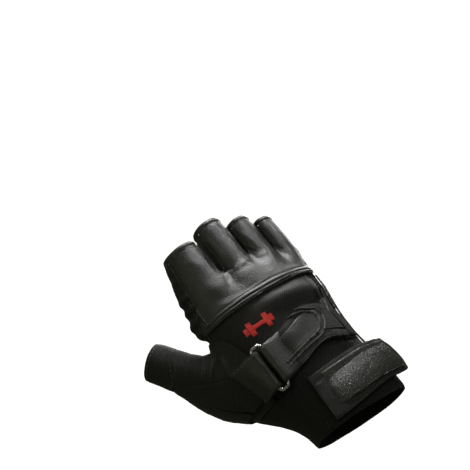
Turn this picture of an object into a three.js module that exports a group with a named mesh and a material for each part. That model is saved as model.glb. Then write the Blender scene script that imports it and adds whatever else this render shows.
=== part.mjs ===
// A half-finger weightlifting glove for a right hand, in the form it has when worn.
// Millimetres. +Z runs from the wrist opening to the fingers, -Y out of the back of the hand,
// +Y out of the palm and -X to the thumb. The origin is the centre of the wrist opening.
import * as THREE from 'three';

// The hand that the glove is cut for
const FINGER_WIDTH = 16.4;
const FINGER_DEPTH = 17.2;
const FINGER_GAP = 3.1;
const HAND_DEPTH = 28;
const WEB_HEIGHT = 125;
const HAND_SQUARENESS = 2.4;
const PALM_HOLLOW = 0.16;
const KNUCKLE_BLEND = 30;
const PALM_BLEND = 15;

// How the worn hand bends: the fingers close a little and the hand arches
const BEND_START = 107;
const BEND_LENGTH = 30;
const BEND_ANGLE = 12;
const ARCH_DROP_THUMB_SIDE = 5;
const ARCH_DROP_LITTLE_SIDE = 8.5;

// Walls and clearances
const LEATHER = 1.15;
const FABRIC = 1.2;
const SUEDE = 1.3;
const SEAM_GAP = 0.4;
const LAYER_GAP = 0.35;

// Where the panels end
const STALL_LENGTH = 35;
const OPENING_SLANT = 2.5;
const STALL_ARC = 62;
const INDEX_SIDE_ARC = 72;
const CUFF_HEIGHT = 34;
const LEATHER_EDGE_THUMB_SIDE = 92;
const LEATHER_EDGE_LITTLE_SIDE = 94;
const HEM_WIDTH = 6;
const HEM_RISE = 1.4;
const THUMB_SEAM_TURN = 0.485;
const THUMB_PALM_TURN = 0.57;
const LITTLE_SEAM_TURN = 0.07;
const BINDING_HEIGHT = 3.2;
const BINDING_WALL = 1.6;
const CUFF_WALL = 2.1;

// The thumb: a funnel from an oval on the side of the hand to a round opening
const THUMB_OPENING_OUT = 74;
const THUMB_OPENING_FORWARD = 39;
const THUMB_OPENING_HEIGHT = 105.5;
const THUMB_AIM = new THREE.Vector3(-0.52, 0.32, 0.79).normalize();
const THUMB_RADIUS = 11.3;
const THUMB_BASE_LOW = 39;
const THUMB_BASE_HIGH = 88;
const THUMB_BASE_BACK_TURN = 0.43;
const THUMB_BASE_PALM_TURN = 0.73;
const THUMB_LAP = 0.17;
const THUMB_LEAVE = 0.3;
const THUMB_BAND_LENGTH = 13.4;
const CROTCH_FROM = -105;
const CROTCH_TO = 50;

// Straps and their hardware
const WRIST_STRAP_WIDTH = 25.5;
const WRIST_STRAP_HEIGHT = 17.5;
const WRIST_STRAP_WALL = 2.0;
const WRIST_STRAP_START = -23;
const WRIST_STRAP_TILT = 4;
const WRIST_STRAP_FREE = 19;
const WRIST_STRAP_BORDER = 3;
const BACK_STRAP_HEIGHT = 60;
const BACK_STRAP_WIDTH = 25;
const BACK_STRAP_WALL = 1.3;
const BACK_STRAP_BOW = -0.0065;
const BACK_STRAP_END = 15;
const BACK_STRAP_START = 22;
const BINDING_WIDTH = 4.5;
const RING_AT = -33;
const RING_WIRE = 2.4;
const RING_SPAN = 7.2;
const RING_ROOM = 0.75;
const RING_OVERHANG = 1.2;
const ANCHOR_LENGTH = 13;
const ANCHOR_WALL = 1.4;
const PAD_THICKNESS = 2.6;
const EMBLEM_CENTRE = -26;
const EMBLEM_CENTRE_HEIGHT = 77;
const EMBLEM_WIDTH = 19;
const EMBLEM_HEIGHT = 10;
const EMBLEM_RISE = 0.7;

// Fingers: width at the web, length of the stall and height of the web are shares of the sizes
// above; tip is the opening's share of the width; slant is the share of OPENING_SLANT by which
// the opening is cut back behind the knuckle; lean is in degrees
const FINGERS = [
  { name: 'index', width: 1.43, tip: 0.86, stall: 0.89, web: 0.945, slant: 1.1, lean: 3.5 },
  { name: 'middle', width: 1.13, tip: 1.0, stall: 0.93, web: 0.98, slant: 0.5, lean: 5 },
  { name: 'ring', width: 0.98, tip: 0.99, stall: 0.75, web: 0.978, slant: 0.5, lean: 4.9 },
  { name: 'little', width: 0.84, tip: 0.97, stall: 0.78, web: 0.937, slant: 0.8, lean: 5 },
];
const WEBS = [0.93, 0.98, 1.01, 0.975, 0.92];
const FINGERS_SHIFT = -0.028;

// Hand sections: at is a share of WEB_HEIGHT, wide and shift (away from the thumb) of the hand's
// breadth, back and palm of HAND_DEPTH, hollow of PALM_HOLLOW
const SECTIONS = [
  { at: 0.0, wide: 0.78, shift: 0.0, back: 0.7, palm: 0.72, hollow: 0.0 },
  { at: 0.12, wide: 0.77, shift: 0.0, back: 0.68, palm: 0.71, hollow: 0.0 },
  { at: 0.26, wide: 0.755, shift: -0.031, back: 0.65, palm: 0.75, hollow: 0.1 },
  { at: 0.38, wide: 0.775, shift: -0.062, back: 0.61, palm: 0.74, hollow: 0.5 },
  { at: 0.55, wide: 0.862, shift: -0.087, back: 0.57, palm: 0.67, hollow: 1.0 },
  { at: 0.76, wide: 1.0, shift: -0.09, back: 0.54, palm: 0.57, hollow: 0.9 },
  { at: 0.89, wide: 1.0, shift: -0.07, back: 0.5, palm: 0.5, hollow: 0.3 },
  { at: 1.0, wide: 1.0, shift: -0.028, back: 0.36, palm: 0.36, hollow: 0.0 },
];

// Bulges, folds and gathers: at is a share of WEB_HEIGHT and turn is round the hand, reach and
// spread are their sizes in the same two ways, and rise is a share of HAND_DEPTH
const FOLDS = [
  { at: 0.36, turn: 0.62, rise: 0.857, reach: 0.18, spread: 0.12 },
  { at: 0.9, turn: 0.6, rise: 0.32, reach: 0.11, spread: 0.08 },
  { at: 0.985, turn: 0.55, rise: 0.08, reach: 0.028, spread: 0.05 },
  { at: 0.925, turn: 0.54, rise: 0.09, reach: 0.027, spread: 0.055 },
  { at: 0.86, turn: 0.53, rise: 0.1, reach: 0.026, spread: 0.06 },
  { at: 0.79, turn: 0.53, rise: 0.1, reach: 0.024, spread: 0.05 },
  { at: 0.62, turn: 0.0, rise: 0.08, reach: 0.1, spread: 0.05 },
  { at: 0.66, turn: 0.165, rise: 0.085, reach: 0.052, spread: 0.085 },
];

// Swells of a stall: angle is round the finger and spread is in degrees, the rest is as above
const STALL_SWELLS = [
  { finger: 0, angle: 246, at: 0.97, rise: 0.2, reach: 0.17, spread: 34 },
];

const EMBLEM_CHART = [
  '.x.....x.',
  'xx.....xx',
  'xxxxxxxxx',
  'xx.....xx',
  '.x.....x.',
];

const radians = THREE.MathUtils.degToRad;
const mix = THREE.MathUtils.lerp;

const fingerWidths = FINGERS.map((f) => f.width * FINGER_WIDTH);
const handBreadth = fingerWidths.reduce((a, b) => a + b, 0) + 3 * FINGER_GAP;
const webHeights = WEBS.map((share) => share * WEB_HEIGHT);
const centres = fingerWidths.map((w, k) => {
  const before = fingerWidths.slice(0, k).reduce((a, b) => a + b + FINGER_GAP, 0);
  return handBreadth * (FINGERS_SHIFT - 0.5) + before + w / 2;
});

function smooth(t) {
  const x = THREE.MathUtils.clamp(t, 0, 1);
  return x * x * (3 - 2 * x);
}

// A value of a table's column at a share, on a curve through its rows
function between(rows, at, column) {
  const last = rows.length - 1;
  let i = rows.findIndex((row) => row.at > at) - 1;
  if (i < 0) i = at <= 0 ? 0 : last - 1;
  const slope = (k) => {
    const a = rows[Math.max(k - 1, 0)];
    const b = rows[Math.min(k + 1, last)];
    return (b[column] - a[column]) / (b.at - a.at);
  };
  const [p, q] = [rows[i], rows[i + 1]];
  const h = q.at - p.at;
  const t = THREE.MathUtils.clamp((at - p.at) / h, 0, 1);
  const bend = t * (1 - t) * h;
  return mix(p[column], q[column], smooth(t)) + bend * ((1 - t) * slope(i) - t * slope(i + 1));
}

function foldRise(turn, z) {
  const at = z / WEB_HEIGHT;
  return FOLDS.reduce((sum, f) => {
    const around = turn - f.turn - Math.round(turn - f.turn);
    const near = ((at - f.at) / f.reach) ** 2 + (around / f.spread) ** 2;
    return sum + f.rise * HAND_DEPTH * Math.exp(-near);
  }, 0);
}

// A point of the hand's body: turn runs from the little-finger side over the back to the thumb
function bodyPoint(turn, z, lift) {
  const at = z / WEB_HEIGHT;
  const angle = 2 * Math.PI * turn;
  const [c, s] = [Math.cos(angle), Math.sin(angle)];
  const power = 2 / HAND_SQUARENESS;
  const rise = lift + foldRise(turn, z);
  const half = between(SECTIONS, at, 'wide') * handBreadth / 2 + rise;
  const depth = between(SECTIONS, at, s > 0 ? 'back' : 'palm') * HAND_DEPTH;
  const side = Math.sign(c) * Math.abs(c) ** power;
  const x = half * side + between(SECTIONS, at, 'shift') * handBreadth;
  const dip = s > 0 ? 0 : PALM_HOLLOW * between(SECTIONS, at, 'hollow') * Math.exp(-(side ** 2) * 5);
  const y = -Math.sign(s) * Math.abs(s) ** power * (depth * (1 - dip) + rise);
  return new THREE.Vector3(x, y, z);
}

function stallSwell(finger, angle, z) {
  return STALL_SWELLS.filter((s) => s.finger === finger).reduce((sum, s) => {
    const around = THREE.MathUtils.euclideanModulo(angle - s.angle + 180, 360) - 180;
    const near = ((z / WEB_HEIGHT - s.at) / s.reach) ** 2 + (around / s.spread) ** 2;
    return sum + s.rise * HAND_DEPTH * Math.exp(-near);
  }, 0);
}

// A stall's opening is cut back behind the knuckle and runs on in the palm
function openingHeight(finger, angle) {
  const { web, stall, slant } = FINGERS[finger];
  return web * WEB_HEIGHT + stall * STALL_LENGTH - slant * OPENING_SLANT * Math.cos(radians(angle));
}

// A point of a finger stall: angle 0 is on the back, 90 towards the little finger
function fingerPoint(finger, angle, z, gap) {
  const a = radians(angle);
  const lift = gap + stallSwell(finger, angle, z);
  const x = centres[finger] + (z - WEB_HEIGHT) * Math.tan(radians(FINGERS[finger].lean));
  const { web, stall, tip } = FINGERS[finger];
  const up = (z - web * WEB_HEIGHT) / (stall * STALL_LENGTH);
  const halfWidth = fingerWidths[finger] / 2 * mix(1, tip, THREE.MathUtils.clamp(up, 0, 1.1)) + lift;
  const halfDepth = FINGER_DEPTH / 2 * mix(1, FINGERS[finger].width * tip, 0.5) + lift;
  return new THREE.Vector3(x + halfWidth * Math.sin(a), -halfDepth * Math.cos(a), z);
}

// The worn shape: the hand arches and its fingers close towards the palm
function pose(p) {
  const arch = smooth((p.z / WEB_HEIGHT - 0.4) / 0.5);
  const drop = p.x < 0 ? ARCH_DROP_THUMB_SIDE : ARCH_DROP_LITTLE_SIDE;
  const y = p.y + drop * arch * (2 * p.x / handBreadth) ** 2;
  const full = radians(BEND_ANGLE);
  const bend = full / BEND_LENGTH;
  const along = p.z - BEND_START;
  if (along <= 0) return new THREE.Vector3(p.x, y, p.z);
  const angle = Math.min(along * bend, full);
  const past = Math.max(along - BEND_LENGTH, 0);
  const centreY = (1 - Math.cos(angle)) / bend + past * Math.sin(angle);
  const centreZ = BEND_START + Math.sin(angle) / bend + past * Math.cos(angle);
  return new THREE.Vector3(p.x, centreY + y * Math.cos(angle), centreZ - y * Math.sin(angle));
}

// Lines that run up the hand and on along a finger. A line knows its turn on the body, its
// finger and angle there, and the heights of the web and of the opening beside it.
function turnOfShare(share, palmSide) {
  const c = Math.sign(share) * Math.abs(share) ** (HAND_SQUARENESS / 2);
  const turn = Math.acos(c) / (2 * Math.PI);
  return palmSide ? 1 - turn : turn;
}

function seamShare(turn) {
  return Math.abs(Math.cos(2 * Math.PI * turn)) ** (2 / HAND_SQUARENESS);
}

function stallLine(finger, s, palmSide) {
  const arc = finger === 0 && s < 0 && !palmSide ? INDEX_SIDE_ARC : STALL_ARC;
  const angle = palmSide ? 180 - arc * s : arc * s;
  const across = (k, t, a) => centres[k] + fingerWidths[k] / 2 * Math.sin(radians(a)) * t;
  const middle = handBreadth * FINGERS_SHIFT;
  const x = across(finger, s, arc) - middle;
  const edge = x < 0 ? across(0, -1, palmSide ? STALL_ARC : INDEX_SIDE_ARC) : across(3, 1, STALL_ARC);
  const thumbSeam = palmSide ? THUMB_PALM_TURN : THUMB_SEAM_TURN;
  const seam = seamShare(x < 0 ? thumbSeam : LITTLE_SEAM_TURN);
  const share = THREE.MathUtils.clamp(x / Math.abs(edge - middle), -1, 1) * seam;
  const t = (s + 1) / 2;
  const web = mix(webHeights[finger], webHeights[finger + 1], t);
  return { finger, angle, turn: turnOfShare(share, palmSide), web, open: openingHeight(finger, angle) };
}

function handPoint(line, z, lift) {
  const blend = mix(PALM_BLEND, KNUCKLE_BLEND, (1 + Math.cos(radians(line.angle))) / 2);
  const w = smooth((line.web - z) / blend);
  const body = w > 0 ? bodyPoint(line.turn, Math.min(z, WEB_HEIGHT), lift) : null;
  if (w === 1) return pose(body);
  const tube = fingerPoint(line.finger, line.angle, z, lift);
  return pose(w > 0 ? tube.lerp(body, w) : tube);
}

// A closed shell between two faces of a grid of quads; has(i, j) leaves a quad out
function shell({ across, along, at, has = () => true, roundAcross = false, roundAlong = false }) {
  const columns = roundAcross ? across : across + 1;
  const rows = roundAlong ? along : along + 1;
  const positions = [];
  for (const side of [0, 1]) {
    for (let j = 0; j < rows; j += 1) {
      for (let i = 0; i < columns; i += 1) positions.push(...at(i, j, side).toArray());
    }
  }
  const spot = (i, j, side) => side * rows * columns + (j % rows) * columns + (i % columns);
  const kept = (i, j) => {
    const a = roundAcross ? (i + across) % across : i;
    const b = roundAlong ? (j + along) % along : j;
    return a >= 0 && a < across && b >= 0 && b < along && has(a, b);
  };
  const index = [];
  const quad = (a, b, c, d) => index.push(a, b, c, a, c, d);
  for (let j = 0; j < along; j += 1) {
    for (let i = 0; i < across; i += 1) {
      if (!kept(i, j)) continue;
      const corner = [[i, j], [i + 1, j], [i + 1, j + 1], [i, j + 1]];
      const outer = corner.map(([p, q]) => spot(p, q, 1));
      const inner = corner.map(([p, q]) => spot(p, q, 0));
      quad(...outer);
      quad(inner[3], inner[2], inner[1], inner[0]);
      const beside = [[i, j - 1], [i + 1, j], [i, j + 1], [i - 1, j]];
      beside.forEach(([p, q], edge) => {
        const next = (edge + 1) % 4;
        if (!kept(p, q)) quad(outer[edge], inner[edge], inner[next], outer[next]);
      });
    }
  }
  return solidGeometry(positions, index);
}

// Only the vertices in use are kept, and the faces are turned out if they came out inwards
function solidGeometry(positions, index) {
  const used = [...new Set(index)];
  const place = new Map(used.map((v, k) => [v, k]));
  const kept = used.flatMap((v) => positions.slice(3 * v, 3 * v + 3));
  const faces = index.map((v) => place.get(v));
  const corner = (f) => new THREE.Vector3().fromArray(kept, 3 * faces[f]);
  let volume = 0;
  for (let f = 0; f < faces.length; f += 3) {
    volume += corner(f).dot(corner(f + 1).cross(corner(f + 2)));
  }
  if (volume < 0) faces.reverse();
  const geometry = new THREE.BufferGeometry();
  geometry.setAttribute('position', new THREE.Float32BufferAttribute(kept, 3));
  geometry.setIndex(faces);
  geometry.computeVertexNormals();
  return geometry;
}

const glove = new THREE.Group();

const finishes = {
  leather: new THREE.MeshStandardMaterial({ color: 0x1a1a1a, roughness: 0.38, metalness: 0 }),
  grained: new THREE.MeshStandardMaterial({ color: 0x161616, roughness: 0.5, metalness: 0 }),
  suede: new THREE.MeshStandardMaterial({ color: 0x222222, roughness: 0.9, metalness: 0 }),
  fabric: new THREE.MeshStandardMaterial({ color: 0x121212, roughness: 0.85, metalness: 0 }),
  knit: new THREE.MeshStandardMaterial({ color: 0x0f0f0f, roughness: 0.9, metalness: 0 }),
  webbing: new THREE.MeshStandardMaterial({ color: 0x1c1c1c, roughness: 0.8, metalness: 0 }),
  metal: new THREE.MeshStandardMaterial({ color: 0x8a8d90, roughness: 0.25, metalness: 1 }),
  thread: new THREE.MeshStandardMaterial({ color: 0xc8201c, roughness: 0.6, metalness: 0 }),
};

function add(name, geometry, finish) {
  const mesh = new THREE.Mesh(geometry, finishes[finish]);
  mesh.name = name;
  glove.add(mesh);
  return mesh;
}

// Lines of the back or the palm of all four stalls, with one strip of web between two fingers
function stallLines(palmSide, segments) {
  return FINGERS.flatMap((finger, k) => {
    const steps = Array.from({ length: segments + 1 }, (_, i) => 2 * i / segments - 1);
    return steps.map((s) => stallLine(k, s, palmSide));
  });
}

// The share of a turn, or of a finger's round, that keeps a seam's two edges apart
const SEAM_TURN = 0.0035;
const SEAM_ANGLE = 2;

// Knuckle panel, with a folded hem that stands proud of the fabric below it
function leatherEdge(turn) {
  const t = (THUMB_SEAM_TURN - turn) / (THUMB_SEAM_TURN - LITTLE_SEAM_TURN);
  return mix(LEATHER_EDGE_THUMB_SIDE, LEATHER_EDGE_LITTLE_SIDE, t);
}

function backLeather() {
  const segments = 5;
  const hemRows = 3;
  const webRow = 8;
  const rows = 11;
  const lines = stallLines(false, segments);
  const at = (i, j, side) => {
    const line = lines[i];
    const low = leatherEdge(line.turn);
    const top = line.web - LEATHER - SEAM_GAP;
    let z = mix(low + HEM_WIDTH, top, (j - hemRows) / (webRow - hemRows));
    if (j < hemRows) z = low + HEM_WIDTH * j / hemRows;
    if (j > webRow) z = mix(top, line.open, (j - webRow) / (rows - webRow));
    const hem = HEM_RISE * (1 - smooth((z - low - HEM_WIDTH / 2) / (HEM_WIDTH / 2)));
    return handPoint(line, z, LAYER_GAP + hem + side * LEATHER);
  };
  const has = (i, j) => j < webRow || i % (segments + 1) !== segments;
  return shell({ across: lines.length - 1, along: rows, at, has });
}

// The oval that the thumb leaves the hand by, and the smaller hole in the panels under its lap
const base = {
  turn: (THUMB_BASE_BACK_TURN + THUMB_BASE_PALM_TURN) / 2,
  halfTurn: (THUMB_BASE_PALM_TURN - THUMB_BASE_BACK_TURN) / 2,
  z: (THUMB_BASE_LOW + THUMB_BASE_HIGH) / 2,
  halfZ: (THUMB_BASE_HIGH - THUMB_BASE_LOW) / 2,
};

function inHole(turn, z) {
  const across = (turn - base.turn) / base.halfTurn;
  const up = (z - base.z) / base.halfZ;
  return across ** 4 + up ** 4 < (1 - THUMB_LAP) ** 4;
}

// Fabric of the back, tucked under the knuckle panel's hem
function backFabric() {
  const rows = 12;
  const lines = stallLines(false, 3);
  const at = (i, j, side) => {
    const line = { ...lines[i] };
    const z = mix(CUFF_HEIGHT + SEAM_GAP, leatherEdge(line.turn) + HEM_WIDTH / 2, j / rows);
    return handPoint(line, z, side * FABRIC);
  };
  const has = (i, j) => {
    const turn = (lines[i].turn + lines[i + 1].turn) / 2;
    return !inHole(turn, mix(CUFF_HEIGHT + SEAM_GAP, leatherEdge(turn) + HEM_WIDTH / 2, (j + 0.5) / rows));
  };
  return shell({ across: lines.length - 1, along: rows, at, has });
}

// Palm panel: the palm of the stalls, the palm itself and the wraps round both edges
function palmLeather() {
  const segments = 4;
  const wrap = 4;
  const webRow = 17;
  const rows = 20;
  const end = FINGERS.length - 1;
  const thumbTurn = THUMB_SEAM_TURN + SEAM_TURN;
  const littleTurn = 1 + LITTLE_SEAM_TURN - SEAM_TURN;
  const edge = (finger, k, from, to) => {
    return Array.from({ length: wrap }, (_, i) => {
      const t = (i + k) / wrap;
      const angle = mix(from.angle, to.angle, t);
      const open = openingHeight(finger, angle);
      return { finger, angle, turn: mix(from.turn, to.turn, t), web: webHeights[finger + k], open };
    });
  };
  const palm = stallLines(true, segments);
  const thumbSeam = { angle: 360 - INDEX_SIDE_ARC - SEAM_ANGLE, turn: thumbTurn };
  const littleSeam = { angle: STALL_ARC + SEAM_ANGLE, turn: littleTurn };
  const lines = [
    ...edge(0, 0, thumbSeam, { angle: 180 + STALL_ARC, turn: palm[0].turn }),
    ...palm,
    ...edge(end, 1, { angle: 180 - STALL_ARC, turn: palm[palm.length - 1].turn }, littleSeam),
  ];
  const heightOf = (line, j) => {
    const top = line.web - SUEDE - SEAM_GAP;
    if (j > webRow) return mix(top, line.open, (j - webRow) / (rows - webRow));
    return mix(CUFF_HEIGHT + SEAM_GAP, top, j / webRow);
  };
  const at = (i, j, side) => handPoint(lines[i], heightOf(lines[i], j), LAYER_GAP + side * SUEDE);
  const has = (i, j) => {
    const betweenStalls = i >= wrap && i < lines.length - 1 - wrap && (i - wrap) % (segments + 1) === segments;
    if (j >= webRow) return !betweenStalls;
    return !inHole((lines[i].turn + lines[i + 1].turn) / 2, heightOf(lines[i], j + 0.5));
  };
  return shell({ across: lines.length - 1, along: rows, at, has });
}

// The strip that lines both sides of a gap between two fingers and the web between them
function fourchette(k) {
  const web = webHeights[k + 1];
  const rise = 3;
  const first = STALL_ARC + SEAM_ANGLE;
  const last = 180 - STALL_ARC - SEAM_ANGLE;
  const at = (i, j, side) => {
    const left = j <= rise;
    const angle = mix(first, last, i / 4);
    const up = left ? (rise - j) / rise : (j - rise - 1) / rise;
    const floor = web - LEATHER * (1 - side);
    const z = mix(floor, openingHeight(left ? k : k + 1, angle), up);
    return pose(fingerPoint(left ? k : k + 1, left ? angle : -angle, z, side * LEATHER));
  };
  return shell({ across: 4, along: 2 * rise + 1, at });
}

// The folded rim of a stall's opening, with its faces as shares of BINDING_WALL
const RIM_PROFILE = [
  { up: 0, inner: 0.15, outer: 0.81 },
  { up: 0.3, inner: 0, outer: 1 },
  { up: 0.75, inner: 0, outer: 0.97 },
  { up: 1, inner: 0.22, outer: 0.69 },
];

function stallRim(k) {
  const at = (i, j, side) => {
    const row = RIM_PROFILE[j];
    const lift = BINDING_WALL * (side ? row.outer : row.inner);
    const angle = 360 * i / 16;
    const z = openingHeight(k, angle) + SEAM_GAP + row.up * BINDING_HEIGHT;
    return pose(fingerPoint(k, angle, z, lift));
  };
  return shell({ across: 16, along: RIM_PROFILE.length - 1, at, roundAcross: true });
}

// The knitted cuff, with its faces as shares of CUFF_WALL
const CUFF_PROFILE = [
  { up: 0, inner: 0.14, outer: 0.76 },
  { up: 0.06, inner: 0, outer: 1 },
  { up: 0.14, inner: 0, outer: 0.95 },
  { up: 0.5, inner: 0, outer: 0.86 },
  { up: 0.9, inner: 0, outer: 0.9 },
  { up: 1, inner: 0.05, outer: 0.76 },
];

function cuffBand() {
  const at = (i, j, side) => {
    const row = CUFF_PROFILE[j];
    const lift = CUFF_WALL * (side ? row.outer : row.inner);
    return pose(bodyPoint(i / 32, row.up * CUFF_HEIGHT, lift));
  };
  return shell({ across: 32, along: CUFF_PROFILE.length - 1, at, roundAcross: true });
}

// The thumb. Its angle is 0 on the palm side, 90 towards the fingers and 180 on the back.
const thumbOpening = new THREE.Vector3(-THUMB_OPENING_OUT, THUMB_OPENING_FORWARD, THUMB_OPENING_HEIGHT);
const thumbUp = new THREE.Vector3(0, 0, 1).projectOnPlane(THUMB_AIM).normalize();
const thumbPalm = new THREE.Vector3().crossVectors(thumbUp, THUMB_AIM).normalize();
if (thumbPalm.y < 0) thumbPalm.negate();
const BASE_LIFT = LAYER_GAP + SUEDE + 3.2 * LAYER_GAP;

function thumbBasePoint(angle, share) {
  const [c, s] = [Math.cos(radians(angle)), Math.sin(radians(angle))];
  const size = share / (c ** 4 + s ** 4) ** 0.25;
  return pose(bodyPoint(base.turn + size * base.halfTurn * c, base.z + size * base.halfZ * s, BASE_LIFT));
}

function thumbMiddle(angle, t) {
  const root = thumbBasePoint(angle, 1);
  const inward = thumbBasePoint(angle, 0.8).sub(root).normalize();
  const heel = Math.max((Math.cos(radians(angle)) - Math.sin(radians(angle))) / Math.SQRT2, 0);
  inward.addScaledVector(root.clone().setZ(0).normalize(), THUMB_LEAVE + 0.3 * heel).normalize();
  const ringSide = Math.cos(radians(angle));
  const ringUp = Math.sin(radians(angle));
  const rim = thumbOpening.clone()
    .addScaledVector(thumbPalm, THUMB_RADIUS * ringSide)
    .addScaledVector(thumbUp, THUMB_RADIUS * ringUp);
  const span = rim.distanceTo(root);
  const leave = 0.32 + 0.1 * Math.max(ringUp, 0) + 0.16 * heel;
  const second = root.clone().addScaledVector(inward, leave * span);
  const third = rim.clone().addScaledVector(THUMB_AIM, -0.42 * span);
  return new THREE.CubicBezierCurve3(root, second, third, rim).getPoint(t);
}

function thumbPoint(angle, t, lift) {
  const here = thumbMiddle(angle, t);
  const around = thumbMiddle(angle + 1, t).sub(thumbMiddle(angle - 1, t));
  const along = thumbMiddle(angle, Math.min(t + 0.01, 1)).sub(thumbMiddle(angle, Math.max(t - 0.01, 0)));
  const out = new THREE.Vector3().crossVectors(along, around).normalize();
  return here.addScaledVector(out, lift);
}

// How far along the thumb its leather band starts
const thumbRuns = [0, 90, 180, 270].map((a) => thumbMiddle(a, 0).distanceTo(thumbMiddle(a, 1)));
const BAND_START = 1 - THUMB_BAND_LENGTH * 4 / thumbRuns.reduce((sum, run) => sum + run, 0);

function thumbPanel(from, to, columns, wall) {
  const rows = 8;
  const at = (i, j, side) => {
    const t = mix(0, BAND_START - 0.01, j / rows);
    const angle = mix(from, to, i / columns);
    const ruck = 0.5 * Math.sin(t * 34 + i) * Math.sin(Math.PI * t / BAND_START) ** 2;
    return thumbPoint(angle, t, side * wall + ruck);
  };
  return shell({ across: columns, along: rows, at });
}

function thumbBand() {
  const rows = 3;
  const at = (i, j, side) => {
    const rim = j === rows ? 0.5 : 0;
    return thumbPoint(15 * i, mix(BAND_START, 1, j / rows), side ? LEATHER + 0.3 - rim : rim);
  };
  return shell({ across: 24, along: rows, at, roundAcross: true });
}

add('back_leather', backLeather(), 'leather');
add('back_fabric', backFabric(), 'fabric');
add('palm_leather', palmLeather(), 'suede');
add('fourchette_index_middle', fourchette(0), 'leather');
add('fourchette_middle_ring', fourchette(1), 'leather');
add('fourchette_ring_little', fourchette(2), 'leather');
FINGERS.forEach((finger, k) => add(`${finger.name}_binding`, stallRim(k), 'leather'));
add('cuff_band', cuffBand(), 'knit');
add('thumb_fabric', thumbPanel(CROTCH_TO + 1.5, CROTCH_FROM + 360 - 1.5, 14, FABRIC), 'fabric');
add('thumb_crotch', thumbPanel(CROTCH_FROM + 1.5, CROTCH_TO - 1.5, 10, SUEDE), 'suede');
add('thumb_band', thumbBand(), 'leather');

// A strap's bed: the sheet that a strap pulled over the pieces below it would lie on.
// Its length runs in millimetres and its width from 0, nearer the wrist, to 1.
const below = new THREE.Raycaster();

function reach(angle, z) {
  const out = new THREE.Vector3(Math.cos(angle), -Math.sin(angle), 0);
  const start = new THREE.Vector3(0, 0, z).addScaledVector(out, 150);
  below.set(start, out.clone().negate());
  const hits = below.intersectObjects(glove.children, false);
  return hits.length ? 150 - hits[0].distance : 0;
}

function taut(angles, reaches) {
  const spots = angles.map((a, i) => [reaches[i] * Math.cos(a), reaches[i] * Math.sin(a)]);
  return angles.map((a, i) => {
    let best = reaches[i];
    for (let j = 0; j < i; j += 1) {
      for (let k = i + 1; k < angles.length; k += 1) {
        const [[px, py], [qx, qy]] = [spots[j], spots[k]];
        const [c, s] = [Math.cos(a), Math.sin(a)];
        const t = (py * c - px * s) / ((qx - px) * s - (qy - py) * c);
        best = Math.max(best, (px + t * (qx - px)) * c + (py + t * (qy - py)) * s);
      }
    }
    return best;
  });
}

function bed({ from, to, low, high, tilt = 0, bow = 0, steps = 40, free = 0, curl = 0 }) {
  const rows = 4;
  const angles = Array.from({ length: steps + 1 }, (_, i) => radians(mix(from, to, i / steps)));
  const heights = angles.map((a) => {
    const x = handBreadth / 2 * Math.cos(a);
    return Math.tan(radians(tilt)) * x + bow * x * x;
  });
  const raw = Array.from({ length: rows + 1 }, (_, j) => {
    const z = mix(low, high, j / rows);
    return angles.map((a, i) => reach(a, z + heights[i]));
  });
  const flat = raw.map((row, j) => row.map((r, i) => {
    const even = (k) => mix(raw[0][i], raw[rows][i], k / rows);
    return even(j) + Math.max(...raw.map((other, k) => other[i] - even(k)));
  }));
  const pulled = flat.map((row) => {
    const tight = taut(angles, row);
    return tight.map((r, i) => {
      const [a, b] = [tight[Math.max(i - 1, 0)], tight[Math.min(i + 1, steps)]];
      return Math.max(r, (a + 2 * r + b) / 4);
    });
  });
  const grid = pulled.map((row, j) => row.map((r, i) => {
    const z = mix(low, high, j / rows) + heights[i];
    return new THREE.Vector3(r * Math.cos(angles[i]), -r * Math.sin(angles[i]), z);
  }));
  const extra = Math.round(free / 2);
  grid.forEach((row) => {
    const tip = row[steps].clone();
    const onward = tip.clone().sub(row[steps - 2]).normalize();
    const side = new THREE.Vector3(0, 0, 1).cross(onward);
    if (side.dot(tip.clone().setZ(0)) < 0) side.negate();
    for (let k = 1; k <= extra; k += 1) {
      const run = free * k / extra;
      row.push(tip.clone().addScaledVector(onward, run).addScaledVector(side, curl * run * run));
    }
  });
  const last = grid[0].length - 1;
  const facing = grid.map((row, j) => row.map((p, i) => {
    const along = row[Math.min(i + 1, last)].clone().sub(row[Math.max(i - 1, 0)]);
    const up = grid[Math.min(j + 1, rows)][i].clone().sub(grid[Math.max(j - 1, 0)][i]);
    const out = along.cross(up).normalize();
    return out.dot(new THREE.Vector3(p.x, p.y, 0)) < 0 ? out.negate() : out;
  }));
  const middle = grid[rows / 2];
  const lengths = [0];
  for (let i = 1; i <= last; i += 1) lengths.push(lengths[i - 1] + middle[i].distanceTo(middle[i - 1]));
  const sample = (table, i, j, s, t) => {
    const [a, b] = [table[j][i], table[j][i + 1]];
    const [c, d] = [table[j + 1][i], table[j + 1][i + 1]];
    return a.clone().lerp(b, s).lerp(c.clone().lerp(d, s), t);
  };
  const point = (u, v, lift) => {
    let i = lengths.findIndex((l) => l > u) - 1;
    if (i < 0) i = u <= 0 ? 0 : last - 1;
    const s = (u - lengths[i]) / (lengths[i + 1] - lengths[i]);
    const j = THREE.MathUtils.clamp(Math.floor(v * rows), 0, rows - 1);
    const out = sample(facing, i, j, s, THREE.MathUtils.clamp(v * rows - j, 0, 1)).normalize();
    return sample(grid, i, j, s, v * rows - j).addScaledVector(out, lift);
  };
  const along = (x) => {
    const i = middle.findIndex((p, k) => k < last && (p.x - x) * (middle[k + 1].x - x) <= 0);
    return mix(lengths[i], lengths[i + 1], (x - middle[i].x) / (middle[i + 1].x - middle[i].x));
  };
  return { point, along, length: lengths[last] };
}

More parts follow.
